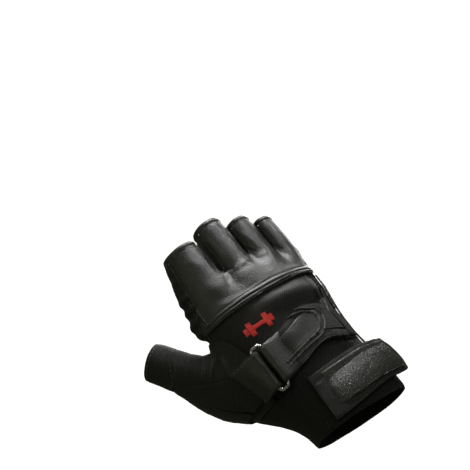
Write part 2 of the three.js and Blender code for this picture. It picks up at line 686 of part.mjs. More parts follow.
// One flat layer on a bed, from one place to another along and across it
function layer(on, { from, to, low = 0, high = 1, rise, wall, steps = 16, rows = 2, round = 0 }) {
  const at = (i, j, side) => {
    const v = mix(low, high, j / rows);
    const corner = round * (1 - Math.sqrt(Math.max(1 - (2 * j / rows - 1) ** 2, 0)));
    const u = mix(from, to, i / steps) - Math.sign(to - from) * corner * (i / steps) ** 8;
    return on.point(u, v, rise + side * wall);
  };
  return shell({ across: steps, along: rows, at });
}

// A sheet folded round a bar: it runs out along the bed, round the bar and back over itself
function foldedStrap(on, { start, bar, end, wall, rows = 3 }) {
  const towards = Math.sign(bar - start);
  const turnRadius = RING_WIRE / 2 + RING_ROOM + wall / 2;
  const under = 1.6 * LAYER_GAP + wall / 2;
  const over = under + wall + LAYER_GAP;
  const centre = under + turnRadius;
  const path = [];
  const near = bar - towards * 9;
  for (let k = 0; k <= 8; k += 1) path.push([mix(start, near, k / 8), under]);
  for (let k = 1; k <= 2; k += 1) path.push([mix(near, bar, k / 3), under]);
  for (let k = 0; k <= 8; k += 1) {
    const a = Math.PI * k / 8;
    path.push([bar + towards * turnRadius * Math.sin(a), centre - turnRadius * Math.cos(a)]);
  }
  for (let k = 1; k <= 4; k += 1) {
    path.push([mix(bar, near - towards * 3, k / 4), mix(centre + turnRadius, over, smooth(k / 4))]);
  }
  for (let k = 1; k <= 6; k += 1) path.push([mix(near - towards * 3, end, k / 6), over]);
  const at = (i, j, side) => {
    const [a, b] = [path[Math.max(i - 1, 0)], path[Math.min(i + 1, path.length - 1)]];
    const run = new THREE.Vector2(b[0] - a[0], b[1] - a[1]).normalize();
    const offset = (side - 0.5) * wall;
    return on.point(path[i][0] - run.y * offset, j / rows, path[i][1] + run.x * offset);
  };
  return shell({ across: path.length - 1, along: rows, at });
}

// A round wire bent into a closed loop
function wireLoop(path, radius, sides = 8) {
  const n = path.length;
  const centre = path.reduce((sum, p) => sum.add(p), new THREE.Vector3()).divideScalar(n);
  const normal = path[0].clone().sub(centre).cross(path[Math.floor(n / 4)].clone().sub(centre)).normalize();
  const positions = path.flatMap((p, k) => {
    const run = path[(k + 1) % n].clone().sub(path[(k + n - 1) % n]).normalize();
    const side = run.clone().cross(normal).normalize();
    return Array.from({ length: sides }, (_, i) => {
      const a = 2 * Math.PI * i / sides;
      return p.clone().addScaledVector(side, radius * Math.cos(a)).addScaledVector(normal, radius * Math.sin(a));
    }).flatMap((q) => q.toArray());
  });
  const index = [];
  for (let k = 0; k < n; k += 1) {
    for (let i = 0; i < sides; i += 1) {
      const [a, b] = [k * sides + i, k * sides + (i + 1) % sides];
      const [c, d] = [((k + 1) % n) * sides + (i + 1) % sides, ((k + 1) % n) * sides + i];
      index.push(a, b, c, a, c, d);
    }
  }
  return solidGeometry(positions, index);
}

// Wrist strap: sewn to the cuff on the back, its free end standing off at the little-finger side
const wristBed = bed({
  from: 150,
  to: 34,
  low: WRIST_STRAP_HEIGHT - WRIST_STRAP_WIDTH / 2,
  high: WRIST_STRAP_HEIGHT + WRIST_STRAP_WIDTH / 2,
  tilt: WRIST_STRAP_TILT,
  free: WRIST_STRAP_FREE,
  curl: 0.006,
});
const wristStart = wristBed.along(WRIST_STRAP_START);
const wristEnd = wristBed.length - 1;
const borderShare = WRIST_STRAP_BORDER / WRIST_STRAP_WIDTH;
const wristTop = LAYER_GAP + WRIST_STRAP_WALL;
add('wrist_strap', layer(wristBed, {
  from: wristStart, to: wristEnd, rise: LAYER_GAP, wall: WRIST_STRAP_WALL, steps: 20, rows: 4, round: 3,
}), 'fabric');
add('wrist_strap_leather', layer(wristBed, {
  from: wristStart + WRIST_STRAP_BORDER,
  to: wristEnd - WRIST_STRAP_BORDER,
  low: borderShare,
  high: 1 - borderShare,
  rise: wristTop + LAYER_GAP,
  wall: 1,
  steps: 16,
  rows: 4,
  round: 2,
}), 'grained');
add('wrist_strap_hook', layer(wristBed, {
  from: wristEnd - WRIST_STRAP_FREE + 8,
  to: wristEnd - WRIST_STRAP_BORDER / 2,
  low: borderShare,
  high: 1 - borderShare,
  rise: -1.1,
  wall: 1.1,
  steps: 4,
  rows: 2,
}), 'webbing');

// Back strap: from the little-finger seam through the ring and back over itself
const backBed = bed({
  from: 14,
  to: 192,
  low: BACK_STRAP_HEIGHT - BACK_STRAP_WIDTH / 2,
  high: BACK_STRAP_HEIGHT + BACK_STRAP_WIDTH / 2,
  bow: BACK_STRAP_BOW,
});
const ringAt = backBed.along(RING_AT);
const anchorBar = ringAt + RING_SPAN;
const backStart = backBed.along(BACK_STRAP_START);
const backEnd = backBed.along(BACK_STRAP_END);
const strapTop = LAYER_GAP + 2 * BACK_STRAP_WALL + LAYER_GAP;
const bindingShare = BINDING_WIDTH / BACK_STRAP_WIDTH;
const barHeight = LAYER_GAP + BACK_STRAP_WALL + RING_ROOM + RING_WIRE / 2;

add('back_strap', foldedStrap(backBed, {
  start: backStart, bar: ringAt, end: backEnd, wall: BACK_STRAP_WALL,
}), 'webbing');

const topLayer = { from: ringAt - 12, to: backEnd + 0.6, rise: strapTop + LAYER_GAP, steps: 14 };
add('back_strap_leather', layer(backBed, {
  ...topLayer, low: bindingShare + 0.015, high: 1 - bindingShare - 0.015, wall: 0.9, rows: 4,
}), 'leather');
add('back_strap_binding_upper', layer(backBed, {
  ...topLayer, low: 1 - bindingShare, high: 1.01, wall: 0.8, rows: 2,
}), 'webbing');
add('back_strap_binding_lower', layer(backBed, {
  ...topLayer, low: -0.01, high: bindingShare, wall: 0.8, rows: 2,
}), 'webbing');
add('loop_pad', layer(backBed, {
  from: backEnd - 2, to: backStart + 1, low: 0.06, high: 0.94,
  rise: LAYER_GAP + BACK_STRAP_WALL + 0.3, wall: 1.2, steps: 6, rows: 2,
}), 'webbing');

// The ring, longer than the strap is wide, and the tab folded round its other bar. Its wire
// follows the bed, so that both bars stay in the middle of the folds round them.
function ringPath() {
  const overhang = (RING_WIRE / 2 + RING_OVERHANG) / BACK_STRAP_WIDTH;
  const steps = 28;
  return Array.from({ length: steps }, (_, k) => {
    const a = 2 * Math.PI * k / steps;
    const [c, s] = [Math.cos(a), Math.sin(a)];
    const flat = 1 / (Math.abs(c) ** 6 + Math.abs(s) ** 6) ** (1 / 6);
    const u = mix(ringAt, anchorBar, (1 + c * flat) / 2);
    return backBed.point(u, 0.5 + (0.5 + overhang) * s * flat, barHeight);
  });
}
add('strap_ring', wireLoop(ringPath(), RING_WIRE / 2), 'metal');
add('ring_anchor', foldedStrap(backBed, {
  start: anchorBar + ANCHOR_LENGTH, bar: anchorBar, end: anchorBar + ANCHOR_LENGTH, wall: ANCHOR_WALL,
}), 'leather');

// Piping over the little-finger seam: two soft ridges side by side
function sidePiping() {
  const rows = 12;
  const columns = 6;
  const at = (i, j, side) => {
    const z = mix(CUFF_HEIGHT + 1, LEATHER_EDGE_LITTLE_SIDE - 2, j / rows);
    const turn = LITTLE_SEAM_TURN - 0.012 + 0.026 * (i / columns - 0.5);
    const ridge = 0.5 + 1.1 * Math.abs(Math.sin(2 * Math.PI * i / columns));
    return pose(bodyPoint(turn, z, LAYER_GAP + SUEDE + LAYER_GAP + side * ridge));
  };
  return shell({ across: columns, along: rows, at });
}
add('side_piping', sidePiping(), 'leather');

// Padded ridges across the palm
function palmPad(lowShare, highShare, thickness, from, to) {
  const lines = stallLines(true, 4).slice(from, to);
  const rows = 5;
  const columns = lines.length - 1;
  const at = (i, j, side) => {
    const line = lines[i];
    const squeeze = 0.16 * Math.abs(2 * i / columns - 1) ** 3;
    const z = line.web * mix(lowShare, highShare, mix(squeeze, 1 - squeeze, j / rows));
    const crown = Math.sqrt(Math.sin(Math.PI * (0.06 + 0.88 * j / rows)) * Math.sin(Math.PI * (0.04 + 0.92 * i / columns)));
    return handPoint(line, z, 4 * LAYER_GAP + SUEDE + side * (0.5 + thickness * crown));
  };
  return shell({ across: columns, along: rows, at });
}
add('palm_pad_upper', palmPad(0.76, 0.95, PAD_THICKNESS, 2, 20), 'suede');
add('palm_pad_lower', palmPad(0.56, 0.73, PAD_THICKNESS, 9, 20), 'suede');

// A barbell worked in raised thread
const emblemBed = bed({
  from: 168,
  to: 95,
  low: EMBLEM_CENTRE_HEIGHT - EMBLEM_HEIGHT / 2,
  high: EMBLEM_CENTRE_HEIGHT + EMBLEM_HEIGHT / 2,
  steps: 20,
});
const emblemStart = emblemBed.along(EMBLEM_CENTRE) - EMBLEM_WIDTH / 2;
function emblem() {
  const [columns, rows] = [EMBLEM_CHART[0].length, EMBLEM_CHART.length];
  const at = (i, j, side) => {
    const u = emblemStart + EMBLEM_WIDTH * i / columns;
    return emblemBed.point(u, j / rows, LAYER_GAP + side * EMBLEM_RISE);
  };
  return shell({ across: columns, along: rows, at, has: (i, j) => EMBLEM_CHART[rows - 1 - j][i] === 'x' });
}
add('emblem', emblem(), 'thread');

export default glove;
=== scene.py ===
import math
import random

import bmesh
import bpy
import numpy as np
from mathutils import Matrix, Vector, noise
from mathutils.bvhtree import BVHTree
from mathutils.kdtree import KDTree


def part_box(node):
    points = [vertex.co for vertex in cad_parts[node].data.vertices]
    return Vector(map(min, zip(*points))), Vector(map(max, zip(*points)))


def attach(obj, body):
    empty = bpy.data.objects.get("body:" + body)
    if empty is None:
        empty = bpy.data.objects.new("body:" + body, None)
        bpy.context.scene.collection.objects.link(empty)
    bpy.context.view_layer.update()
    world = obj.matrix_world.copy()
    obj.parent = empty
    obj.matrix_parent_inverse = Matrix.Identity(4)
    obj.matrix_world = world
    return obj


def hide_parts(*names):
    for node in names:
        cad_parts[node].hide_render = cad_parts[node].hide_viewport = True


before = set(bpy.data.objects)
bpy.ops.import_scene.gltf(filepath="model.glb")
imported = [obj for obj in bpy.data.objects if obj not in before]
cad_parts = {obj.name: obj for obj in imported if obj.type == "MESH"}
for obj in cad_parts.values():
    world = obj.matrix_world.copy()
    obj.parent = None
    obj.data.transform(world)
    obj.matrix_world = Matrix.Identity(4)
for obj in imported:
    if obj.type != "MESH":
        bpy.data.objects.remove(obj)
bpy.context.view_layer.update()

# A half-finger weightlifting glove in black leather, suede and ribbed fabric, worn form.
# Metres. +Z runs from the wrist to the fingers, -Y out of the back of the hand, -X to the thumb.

MM = 0.001
PALMWARD = Vector((0, 1, 0))

# The camera stands where the photograph was taken from
AIM = Vector((0, 0, 80 * MM))
AZIMUTH = math.radians(-29)
ELEVATION = math.radians(-16)
ROLL = math.radians(-37)
DISTANCE = 0.6667
FOCAL_PIXELS = 1080
IMAGE_PIXELS = 470
AIM_PIXEL = (284.5, 314.1)
SENSOR_WIDTH = 36

BACK = Vector((
    math.sin(AZIMUTH) * math.cos(ELEVATION),
    -math.cos(AZIMUTH) * math.cos(ELEVATION),
    math.sin(ELEVATION),
))
LEVEL = Vector((math.cos(AZIMUTH), math.sin(AZIMUTH), 0))
RIGHT = LEVEL * math.cos(ROLL) + BACK.cross(LEVEL) * math.sin(ROLL)
TOP = BACK.cross(RIGHT)

# How a panel is cleaned and rounded, and how far its rims reach under a seam
WELD = 0.002 * MM
JOIN_ANGLE = math.radians(50)
SHARP = math.radians(48)
CREASE = 0.85
RIM_STEP = 0.5 * MM
LONGEST_RIM_STEP = 15 * MM
EDGE_STEP = 0.4 * MM
SEAM_REACH = 0.55 * MM
EDGE_ROUND = 0.28
EDGE_REACH = 0.7 * MM
ROW_DEPTH = 0.16 * MM
ROW_REACH = 0.55 * MM
WALL_SLACK = 1.3

# Wear pales a panel near its edges and where its surface stands up
WORN_REACH = 1.1 * MM
WORN_RISE = 0.8 * MM
WORN_SHARE = 0.35

# A fold fades out at its tips and on what turns away from the camera
FOLD_TIP = 0.08
FOLD_FULLNESS = 0.6
FOLD_FACING = 3

# The hem of the knuckle panel, and heights between which rims carry a row of stitches
LEATHER_WALL = 1.15
HEM_TOP = 97
STALL_ROW_LOW = 108
STALL_ROW_HIGH = 152
PALM_ROW_LOW = 60
PALM_ROW_HIGH = 150
THUMB_ROW_OUT = -72

# Rolls and grooves along that hem, in millimetres: place up from its rim, width and rise
HEM_RELIEF = [
    dict(place=1.5, width=0.8, rise=0.34),
    dict(place=2.7, width=0.35, rise=-0.42),
    dict(place=4.0, width=0.9, rise=0.34),
    dict(place=6.2, width=0.7, rise=-0.3),
]

# Ruffles on the palm panel's thumb side: how far out they start, between which heights, and their pitch
RUFFLE_OUT = -30
RUFFLE_OUT_FADE = 10
RUFFLE_LOW = 78
RUFFLE_HIGH = 128
RUFFLE_FADE = 8
RUFFLE_PITCH = 8.5
RUFFLE_RISE = 0.55 * MM

# How far apart ribs, knitted wales and rows and the yarns of a tape lie, in millimetres
RIB_PITCH = 1.25
WALE_PITCH = 1.1
KNIT_ROW_PITCH = 0.9
TWILL_PITCH = 0.85
YARN_PITCH = 0.6
WALE_RISE = 0.05 * MM

# The roll of cloth between hem and strap, in pixels of the photograph
ROLL_LINE = [(258, 308), (268, 302), (278, 296), (288, 291), (298, 288), (308, 287), (314, 290)]
ROLL_REACH = 10.0

# The adjusting strap: its leather ends in a curve, and past that its rough tape shows
STRAP_END_PIXEL = 323
STRAP_END_MIDDLE = 325
STRAP_END_BEND = 0.02
STRAP_END_FADE = 2
STRAP_SINK = 0.8 * MM
STRAP_SINK_REACH = 3 * MM
TAPE_SINK = 0.9 * MM

# The wrist wrap and its leather patch
WRAP_WIDENING = 6.0 * MM
PATCH_INSET = 5.5 * MM
PATCH_LIFT = 2.5 * MM
PATCH_SINK = 2.0 * MM
PATCH_SINK_REACH = 6.0 * MM
WRAP_EASE = 1.5
CUSHION_RISE = 0.9 * MM
CUSHION_REACH = 4.5 * MM
CUSHION_WAY = (0.2, -1, 0)

# Where rays start that look towards the palm, well in front of the glove's back
FRONT = -0.2

# Thread and cords. A thread's flatness and lift are shares of its width, as a cord's tip and swell are
STITCH_LENGTH = 2.3 * MM
STITCH_GAP = 0.7 * MM
THREAD = 0.5 * MM
THREAD_FLATNESS = 0.42
THREAD_LIFT = 0.12
FINE_STITCH = dict(length=1.3 * MM, gap=0.8 * MM, width=0.4 * MM)
WRAP_STITCH = dict(length=1.5 * MM, gap=0.8 * MM, width=0.45 * MM)
CORD_STEP = 0.7 * MM
CORD_TIP = 0.45
CORD_SWELL = 0.2
SATIN = 0.55 * MM
SATIN_PITCH = 0.7 * SATIN
SATIN_RISE = 0.45 * MM
SATIN_LIFT = 0.2 * MM
SATIN_UNEVEN = 0.03
LYING = Matrix.Rotation(math.pi / 2, 4, "Y")

# The middle of the hand from back to palm; lengths round it, in millimetres, are a turn times the radius
HAND_MIDDLE = 6 * MM
HAND_RADIUS = 36

# The studio: the floor's radius and the backdrop's, the tone of the fill light and of the sky, how far
# spotlights stand off, and the pixels over which they average the slope that they shine on
FLOOR_HEIGHT = -0.5
FLOOR_RADIUS = 2.5
BACKDROP_RADIUS = 3.0
WARM = (1.0, 1.0, 0.75)
SKY_STRENGTH = 0.13
SPOT_DISTANCE = 1.0
SPOT_STEP = 3

# The pieces: CAD node, its wall in millimetres, subdivision levels, finish and material slot
PANELS = {
    "knuckle_panel": ("back_leather", LEATHER_WALL, 3, "leather", "smooth_leather"),
    "ribbed_back": ("back_fabric", 1.2, 3, "ribbed", "ribbed_fabric"),
    "palm_panel": ("palm_leather", 1.3, 3, "suede", "suede"),
    "side_index_middle": ("fourchette_index_middle", LEATHER_WALL, 3, "leather", "smooth_leather"),
    "side_middle_ring": ("fourchette_middle_ring", LEATHER_WALL, 3, "leather", "smooth_leather"),
    "side_ring_little": ("fourchette_ring_little", LEATHER_WALL, 3, "leather", "smooth_leather"),
    "index_rim": ("index_binding", 1.6, 2, "leather", "smooth_leather"),
    "middle_rim": ("middle_binding", 1.6, 2, "leather", "smooth_leather"),
    "ring_rim": ("ring_binding", 1.6, 2, "leather", "smooth_leather"),
    "little_rim": ("little_binding", 1.6, 2, "leather", "smooth_leather"),
    "knitted_cuff": ("cuff_band", 2.1, 3, "knit", "knit"),
    "thumb_panel": ("thumb_fabric", 1.2, 3, "ribbed", "ribbed_fabric"),
    "thumb_web_patch": ("thumb_crotch", 1.3, 3, "suede", "suede"),
    "thumb_rim": ("thumb_band", 1.45, 3, "ribbed", "smooth_leather"),
    "wrist_wrap": ("wrist_strap", 2.0, 3, "binding", "strap_fabric"),
    "wrist_wrap_leather": ("wrist_strap_leather", 1.0, 3, "grained", "grained_leather"),
    "wrist_wrap_hook": ("wrist_strap_hook", 1.1, 3, "hook", "hook_and_loop"),
    "strap_sheet": ("back_strap", 1.3, 2, "leather", "webbing"),
    "strap_leather": ("back_strap_leather", 0.9, 3, "leather", "smooth_leather"),
    "strap_binding_upper": ("back_strap_binding_upper", 0.8, 3, "binding", "webbing"),
    "strap_binding_lower": ("back_strap_binding_lower", 0.8, 3, "binding", "webbing"),
    "strap_loop_tape": ("loop_pad", 1.2, 4, "hook", "hook_and_loop"),
    "buckle_ring": ("strap_ring", 0.0, 2, "metal", "ring_metal"),
    "ring_tab": ("ring_anchor", 1.4, 3, "leather", "smooth_leather"),
    "seam_piping": ("side_piping", 1.0, 2, "leather", "smooth_leather"),
    "palm_pad_fingers": ("palm_pad_upper", 1.0, 3, "pad_suede", "suede"),
    "palm_pad_heel": ("palm_pad_lower", 1.0, 3, "pad_suede", "suede"),
}


def pixels_of(points):
    """Where points, as rows in metres, show in the photograph's frame, and the pixels per metre there."""
    rel = points - np.array(AIM)
    depth = rel @ np.array(BACK)
    size = FOCAL_PIXELS / (DISTANCE - depth)
    across = AIM_PIXEL[0] + size * (rel @ np.array(RIGHT))
    down = AIM_PIXEL[1] - size * (rel @ np.array(TOP))
    return np.stack([across, down], axis=1), size


def cast(pixel, surface):
    """The place on a surface that shows at a pixel of the photograph, and its outward direction."""
    across = (pixel[0] - AIM_PIXEL[0]) / FOCAL_PIXELS
    down = (pixel[1] - AIM_PIXEL[1]) / FOCAL_PIXELS
    ray = RIGHT * across - TOP * down - BACK
    return surface.ray_cast(AIM + BACK * DISTANCE, ray.normalized())[:2]


def make_camera():
    data = bpy.data.cameras.new("camera")
    data.sensor_width = SENSOR_WIDTH
    data.sensor_fit = "HORIZONTAL"
    data.lens = FOCAL_PIXELS * SENSOR_WIDTH / IMAGE_PIXELS
    data.shift_x = 0.5 - AIM_PIXEL[0] / IMAGE_PIXELS
    data.shift_y = AIM_PIXEL[1] / IMAGE_PIXELS - 0.5
    data.clip_start = 0.01
    camera = bpy.data.objects.new("camera", data)
    turn = Matrix((RIGHT, TOP, BACK)).transposed().to_4x4()
    camera.matrix_world = Matrix.Translation(AIM + BACK * DISTANCE) @ turn
    bpy.context.scene.collection.objects.link(camera)
    bpy.context.scene.camera = camera


make_camera()


# Materials

class Value:
    """A number in a material. Arithmetic on it adds the Math nodes that work it out."""

    def __init__(self, finish, socket):
        self.finish = finish
        self.socket = socket

    def _math(self, operation, *values):
        return self.finish.node("ShaderNodeMath", {"operation": operation}, dict(enumerate(values)))

    def __add__(self, other):
        return self._math("ADD", self, other)

    def __radd__(self, other):
        return self._math("ADD", other, self)

    def __sub__(self, other):
        return self._math("SUBTRACT", self, other)

    def __rsub__(self, other):
        return self._math("SUBTRACT", other, self)

    def __mul__(self, other):
        return self._math("MULTIPLY", self, other)

    def sine(self):
        return self._math("SINE", self)

    def clamped(self):
        return self.finish.node("ShaderNodeClamp", {}, {0: self})


class Finish:
    """One material of the glove: a Principled surface whose colour, roughness and relief vary."""

    def __init__(self, name, **constants):
        self.material = bpy.data.materials.new(name)
        self.material.use_nodes = True
        self.tree = self.material.node_tree
        self.shader = self.tree.nodes["Principled BSDF"]
        for socket, value in constants.items():
            self.shader.inputs[socket.replace("_", " ")].default_value = value

    def node(self, kind, settings, inputs, output=0):
        made = self.tree.nodes.new(kind)
        for key, value in settings.items():
            setattr(made, key, value)
        for key, value in inputs.items():
            self.feed(made.inputs[key], value)
        return Value(self, made.outputs[output])

    def feed(self, socket, value):
        if isinstance(value, Value):
            self.tree.links.new(value.socket, socket)
        else:
            socket.default_value = value

    def place(self, scale=(1, 1, 1)):
        """The place on the object, in millimetres, stretched for a pattern."""
        at = self.node("ShaderNodeTexCoord", {}, {}, output="Object")
        size = tuple(s / MM for s in scale)
        return self.node("ShaderNodeMapping", {"vector_type": "POINT"}, {"Vector": at, "Scale": size})

    def attribute(self, name):
        return self.node("ShaderNodeAttribute", {"attribute_name": name}, {}, output="Fac")

    def speckle(self, size, detail=2.0, roughness=0.5, scale=(1, 1, 1)):
        return self.node("ShaderNodeTexNoise", {}, {
            "Vector": self.place(scale), "Scale": 1 / size, "Detail": detail, "Roughness": roughness,
        })

    def pebbles(self, size):
        return self.node("ShaderNodeTexVoronoi", {"feature": "SMOOTH_F1"}, {
            "Vector": self.place(), "Scale": 1 / size, "Smoothness": 0.35,
        })

    def blend(self, share, low, high):
        """A colour between two, by a share."""
        return self.node("ShaderNodeMix", {"data_type": "RGBA"}, {
            0: share, 6: (*low, 1), 7: (*high, 1),
        }, output=2)

    def relief(self, height, distance, under=None):
        """A bumpy surface, whose bumps are a distance in millimetres high."""
        inputs = {"Height": height, "Distance": distance * MM, "Strength": 1.0}
        if under:
            inputs["Normal"] = under
        return self.node("ShaderNodeBump", {}, inputs)

    def paint(self, colour, roughness=None, normal=None):
        for name, value in (("Base Color", colour), ("Roughness", roughness), ("Normal", normal)):
            if value is not None:
                self.feed(self.shader.inputs[name], value)
        return self.material


def smooth_leather():
    f = Finish("smooth_leather", IOR=1.5, Specular_IOR_Level=0.42)
    grain = f.pebbles(0.7)
    creases = f.speckle(2.2, detail=4.0, roughness=0.6, scale=(0.7, 1, 1.6))
    patches = f.speckle(14.0, detail=2.0)
    worn = f.attribute("worn")
    share = patches * 0.5 + worn * 0.9
    colour = f.blend(share.clamped(), (0.0045, 0.0045, 0.0042), (0.013, 0.013, 0.0125))
    rough = 0.36 + patches * 0.08 + creases * 0.1
    fine = f.relief(grain, 0.15)
    return f.paint(colour, rough, f.relief(creases, 0.16, under=fine))


def grained_leather():
    f = Finish("grained_leather", IOR=1.55)
    pebble = f.pebbles(0.62)
    fine = f.speckle(0.5, detail=2.0)
    patches = f.speckle(12.0)
    worn = f.attribute("worn")
    share = patches * 0.5 + worn + pebble * 0.2
    colour = f.blend(share.clamped(), (0.004, 0.004, 0.004), (0.014, 0.014, 0.014))
    rough = 0.30 + patches * 0.08
    return f.paint(colour, rough, f.relief(pebble, 0.34, under=f.relief(fine, 0.03)))


def suede(name, low, high):
    f = Finish(name, IOR=1.4, Specular_IOR_Level=0.25, Sheen_Weight=0.05, Sheen_Roughness=0.5)
    nap = f.speckle(0.45, detail=3.0, roughness=0.7)
    flecks = f.speckle(0.8, detail=1.0)
    clouds = f.speckle(9.0, detail=3.0)
    share = ((flecks - 0.56) * 5.0).clamped() * 0.55 + clouds * 0.3 + f.attribute("worn") * 0.4
    colour = f.blend(share.clamped(), (low, low, low), (high, high, high))
    return f.paint(colour, 0.86 + nap * 0.1, f.relief(nap, 0.16))


def ribbed_fabric():
    """Fine ribs that run straight up the photograph, and a pebbled sheen where the cloth is drawn over."""
    f = Finish("ribbed_fabric", IOR=1.4, Specular_IOR_Level=0.3, Sheen_Weight=0.05, Sheen_Roughness=0.4)
    rib = f.attribute("rib").sine() * 0.5 + 0.5
    yarn = f.speckle(0.35, detail=2.0)
    clouds = f.speckle(7.0, detail=3.0)
    share = rib * 0.55 + yarn * 0.25 + clouds * 0.15 + f.attribute("worn") * 0.5
    colour = f.blend(share.clamped(), (0.003, 0.003, 0.003), (0.021, 0.021, 0.0205))
    satin = f.attribute("satin")
    rough = 0.72 + yarn * 0.15 - satin * 0.32
    height = rib * (1.0 - satin) + f.pebbles(0.8) * satin + yarn * 0.35
    return f.paint(colour, rough, f.relief(height, 0.16))


def knit():
    f = Finish("knit", IOR=1.4, Specular_IOR_Level=0.2, Sheen_Weight=0.03, Sheen_Roughness=0.5)
    wale = (f.attribute("around") * (2 * math.pi / WALE_PITCH)).sine() * 0.5 + 0.5
    row = (f.attribute("up") * (2 * math.pi / KNIT_ROW_PITCH)).sine() * 0.5 + 0.5
    clouds = f.speckle(10.0, detail=3.0)
    share = wale * 0.4 + wale * row * 0.2 + clouds * 0.25 + f.attribute("worn") * 0.5
    colour = f.blend(share.clamped(), (0.004, 0.004, 0.004), (0.016, 0.016, 0.016))
    return f.paint(colour, 0.85 + row * 0.05, f.relief(wale + row * 0.5, 0.12))


def woven_binding():
    """A twill tape, for the straps' edges."""
    f = Finish("woven_binding", IOR=1.45, Sheen_Weight=0.04, Sheen_Roughness=0.4)
    around = f.attribute("around")
    up = f.attribute("up")
    twill = ((around + up * 0.8) * (2 * math.pi / TWILL_PITCH)).sine() * 0.5 + 0.5
    yarn = ((around - up * 0.6) * (2 * math.pi / YARN_PITCH)).sine() * 0.5 + 0.5
    fuzz = f.speckle(0.4, detail=2.0)
    share = twill * 0.5 + yarn * 0.2 + fuzz * 0.15 + f.attribute("worn") * 0.5
    colour = f.blend(share.clamped(), (0.002, 0.002, 0.002), (0.013, 0.013, 0.013))
    return f.paint(colour, 0.66 + fuzz * 0.15, f.relief(twill + yarn * 0.4, 0.16))


def hook_tape():
    f = Finish("hook_tape", IOR=1.45)
    tufts = f.pebbles(0.9)
    fuzz = f.speckle(0.5, detail=4.0, roughness=0.7)
    share = (tufts * 0.7 + (fuzz - 0.5) * 1.6).clamped()
    colour = f.blend(share, (0.003, 0.003, 0.003), (0.05, 0.05, 0.049))
    return f.paint(colour, 0.75 + fuzz * 0.2, f.relief(tufts + fuzz, 0.4))


def ring_metal():
    f = Finish("ring_metal", Metallic=1.0)
    scratches = f.speckle(0.6, detail=3.0, scale=(1, 1, 4))
    tarnish = f.speckle(3.5, detail=3.0)
    colour = f.blend(tarnish, (0.30, 0.30, 0.31), (0.62, 0.62, 0.64))
    return f.paint(colour, 0.16 + scratches * 0.2, f.relief(scratches, 0.02))


def thread(name, low, high, roughness):
    f = Finish(name, IOR=1.5, Sheen_Weight=0.2)
    strand = f.speckle(0.5, detail=2.0)
    return f.paint(f.blend(strand, low, high), roughness + strand * 0.1, f.relief(strand, 0.05))


finishes = {
    "leather": smooth_leather(),
    "grained": grained_leather(),
    "suede": suede("suede", 0.006, 0.028),
    "pad_suede": suede("pad_suede", 0.014, 0.07),
    "ribbed": ribbed_fabric(),
    "knit": knit(),
    "binding": woven_binding(),
    "hook": hook_tape(),
    "metal": ring_metal(),
    "black_thread": thread("black_thread", (0.016, 0.016, 0.016), (0.05, 0.05, 0.05), 0.5),
    "red_thread": thread("red_thread", (0.52, 0.011, 0.010), (0.95, 0.050, 0.034), 0.45),
}


# Panels: each is a copy of its CAD node, welded, rounded and then pressed into shape

def panel_mesh(node):
    mesh = bmesh.new()
    mesh.from_mesh(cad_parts[node].data)
    bmesh.ops.remove_doubles(mesh, verts=mesh.verts, dist=WELD)
    bmesh.ops.join_triangles(
        mesh, faces=mesh.faces, angle_face_threshold=JOIN_ANGLE, angle_shape_threshold=math.pi,
    )
    mesh.normal_update()
    return mesh


def sharp_edges(mesh):
    return {e for e in mesh.edges if len(e.link_faces) == 2 and e.calc_face_angle() > SHARP}


def inside_of(node):
    """A point that the panel's outer face looks away from."""
    low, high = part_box(node)
    middle = (low + high) / 2
    if node in ("thumb_fabric", "thumb_crotch", "thumb_band") or node.endswith("_binding"):
        return middle
    return Vector((0, HAND_MIDDLE, middle.z))


def rims(mesh, wall, inside):
    """The rims of a panel, each a closed list of (outer corner, outward, inward along the panel).

    A rim is a ring of narrow four-sided faces between the outer and the inner side of the wall.
    """
    sharp = sharp_edges(mesh)
    narrow = WALL_SLACK * wall * MM

    def is_wall(face):
        longest = max(e.calc_length() for e in face.edges)
        slim = face.calc_area() / longest < narrow
        return len(face.verts) == 4 and slim and len(set(face.edges) & sharp) > 1

    walls = {f for f in mesh.faces if is_wall(f)}
    across = {f: [e for e in f.edges if len(set(e.link_faces) & walls) == 2] for f in walls}
    loops = []
    left = {f for f in walls if len(across[f]) == 2}
    while left:
        face = min(left, key=lambda f: f.index)
        left.discard(face)
        edge = across[face][0]
        near, far = edge.verts
        stations = []
        while face:
            stations.append((near, far, -face.normal))
            edge = next(e for e in across[face] if e is not edge)
            beside = {e.other_vert(near) for e in near.link_edges}
            near = next((v for v in edge.verts if v in beside), edge.verts[0])
            far = edge.other_vert(near)
            following = [f for f in edge.link_faces if f in left]
            face = following[0] if following else None
            left.discard(face)
        if len(stations) < 4:
            continue
        lean = sum((a.co - b.co).normalized().dot((a.co - inside).normalized()) for a, b, _ in stations)
        loop = []
        for a, b, inward in stations:
            if lean < 0:
                a, b = b, a
            loop.append((a.co.copy(), (a.co - b.co).normalized(), inward.copy()))
        loops.append(loop)
    return loops


def seam_shift(points, edges):
    """Stretches the rims a little, so that neighbouring panels meet under their seam."""
    spots = []
    inwards = []
    for loop in edges:
        for (a, _, in_a), (b, _, in_b) in zip(loop, loop[1:] + loop[:1]):
            if (b - a).length > LONGEST_RIM_STEP:
                continue
            steps = max(1, int((b - a).length / RIM_STEP))
            for k in range(steps):
                spots.append(a.lerp(b, k / steps))
                inwards.append(in_a.lerp(in_b, k / steps))
    shift = np.zeros_like(points)
    if not spots:
        return shift
    tree = tree_of(spots)
    for i, point in enumerate(points):
        _, nearest, away = tree.find(point)
        if away < 4 * SEAM_REACH:
            shift[i] = np.array(inwards[nearest]) * -SEAM_REACH * math.exp(-(away / (2 * SEAM_REACH)) ** 2)
    return shift


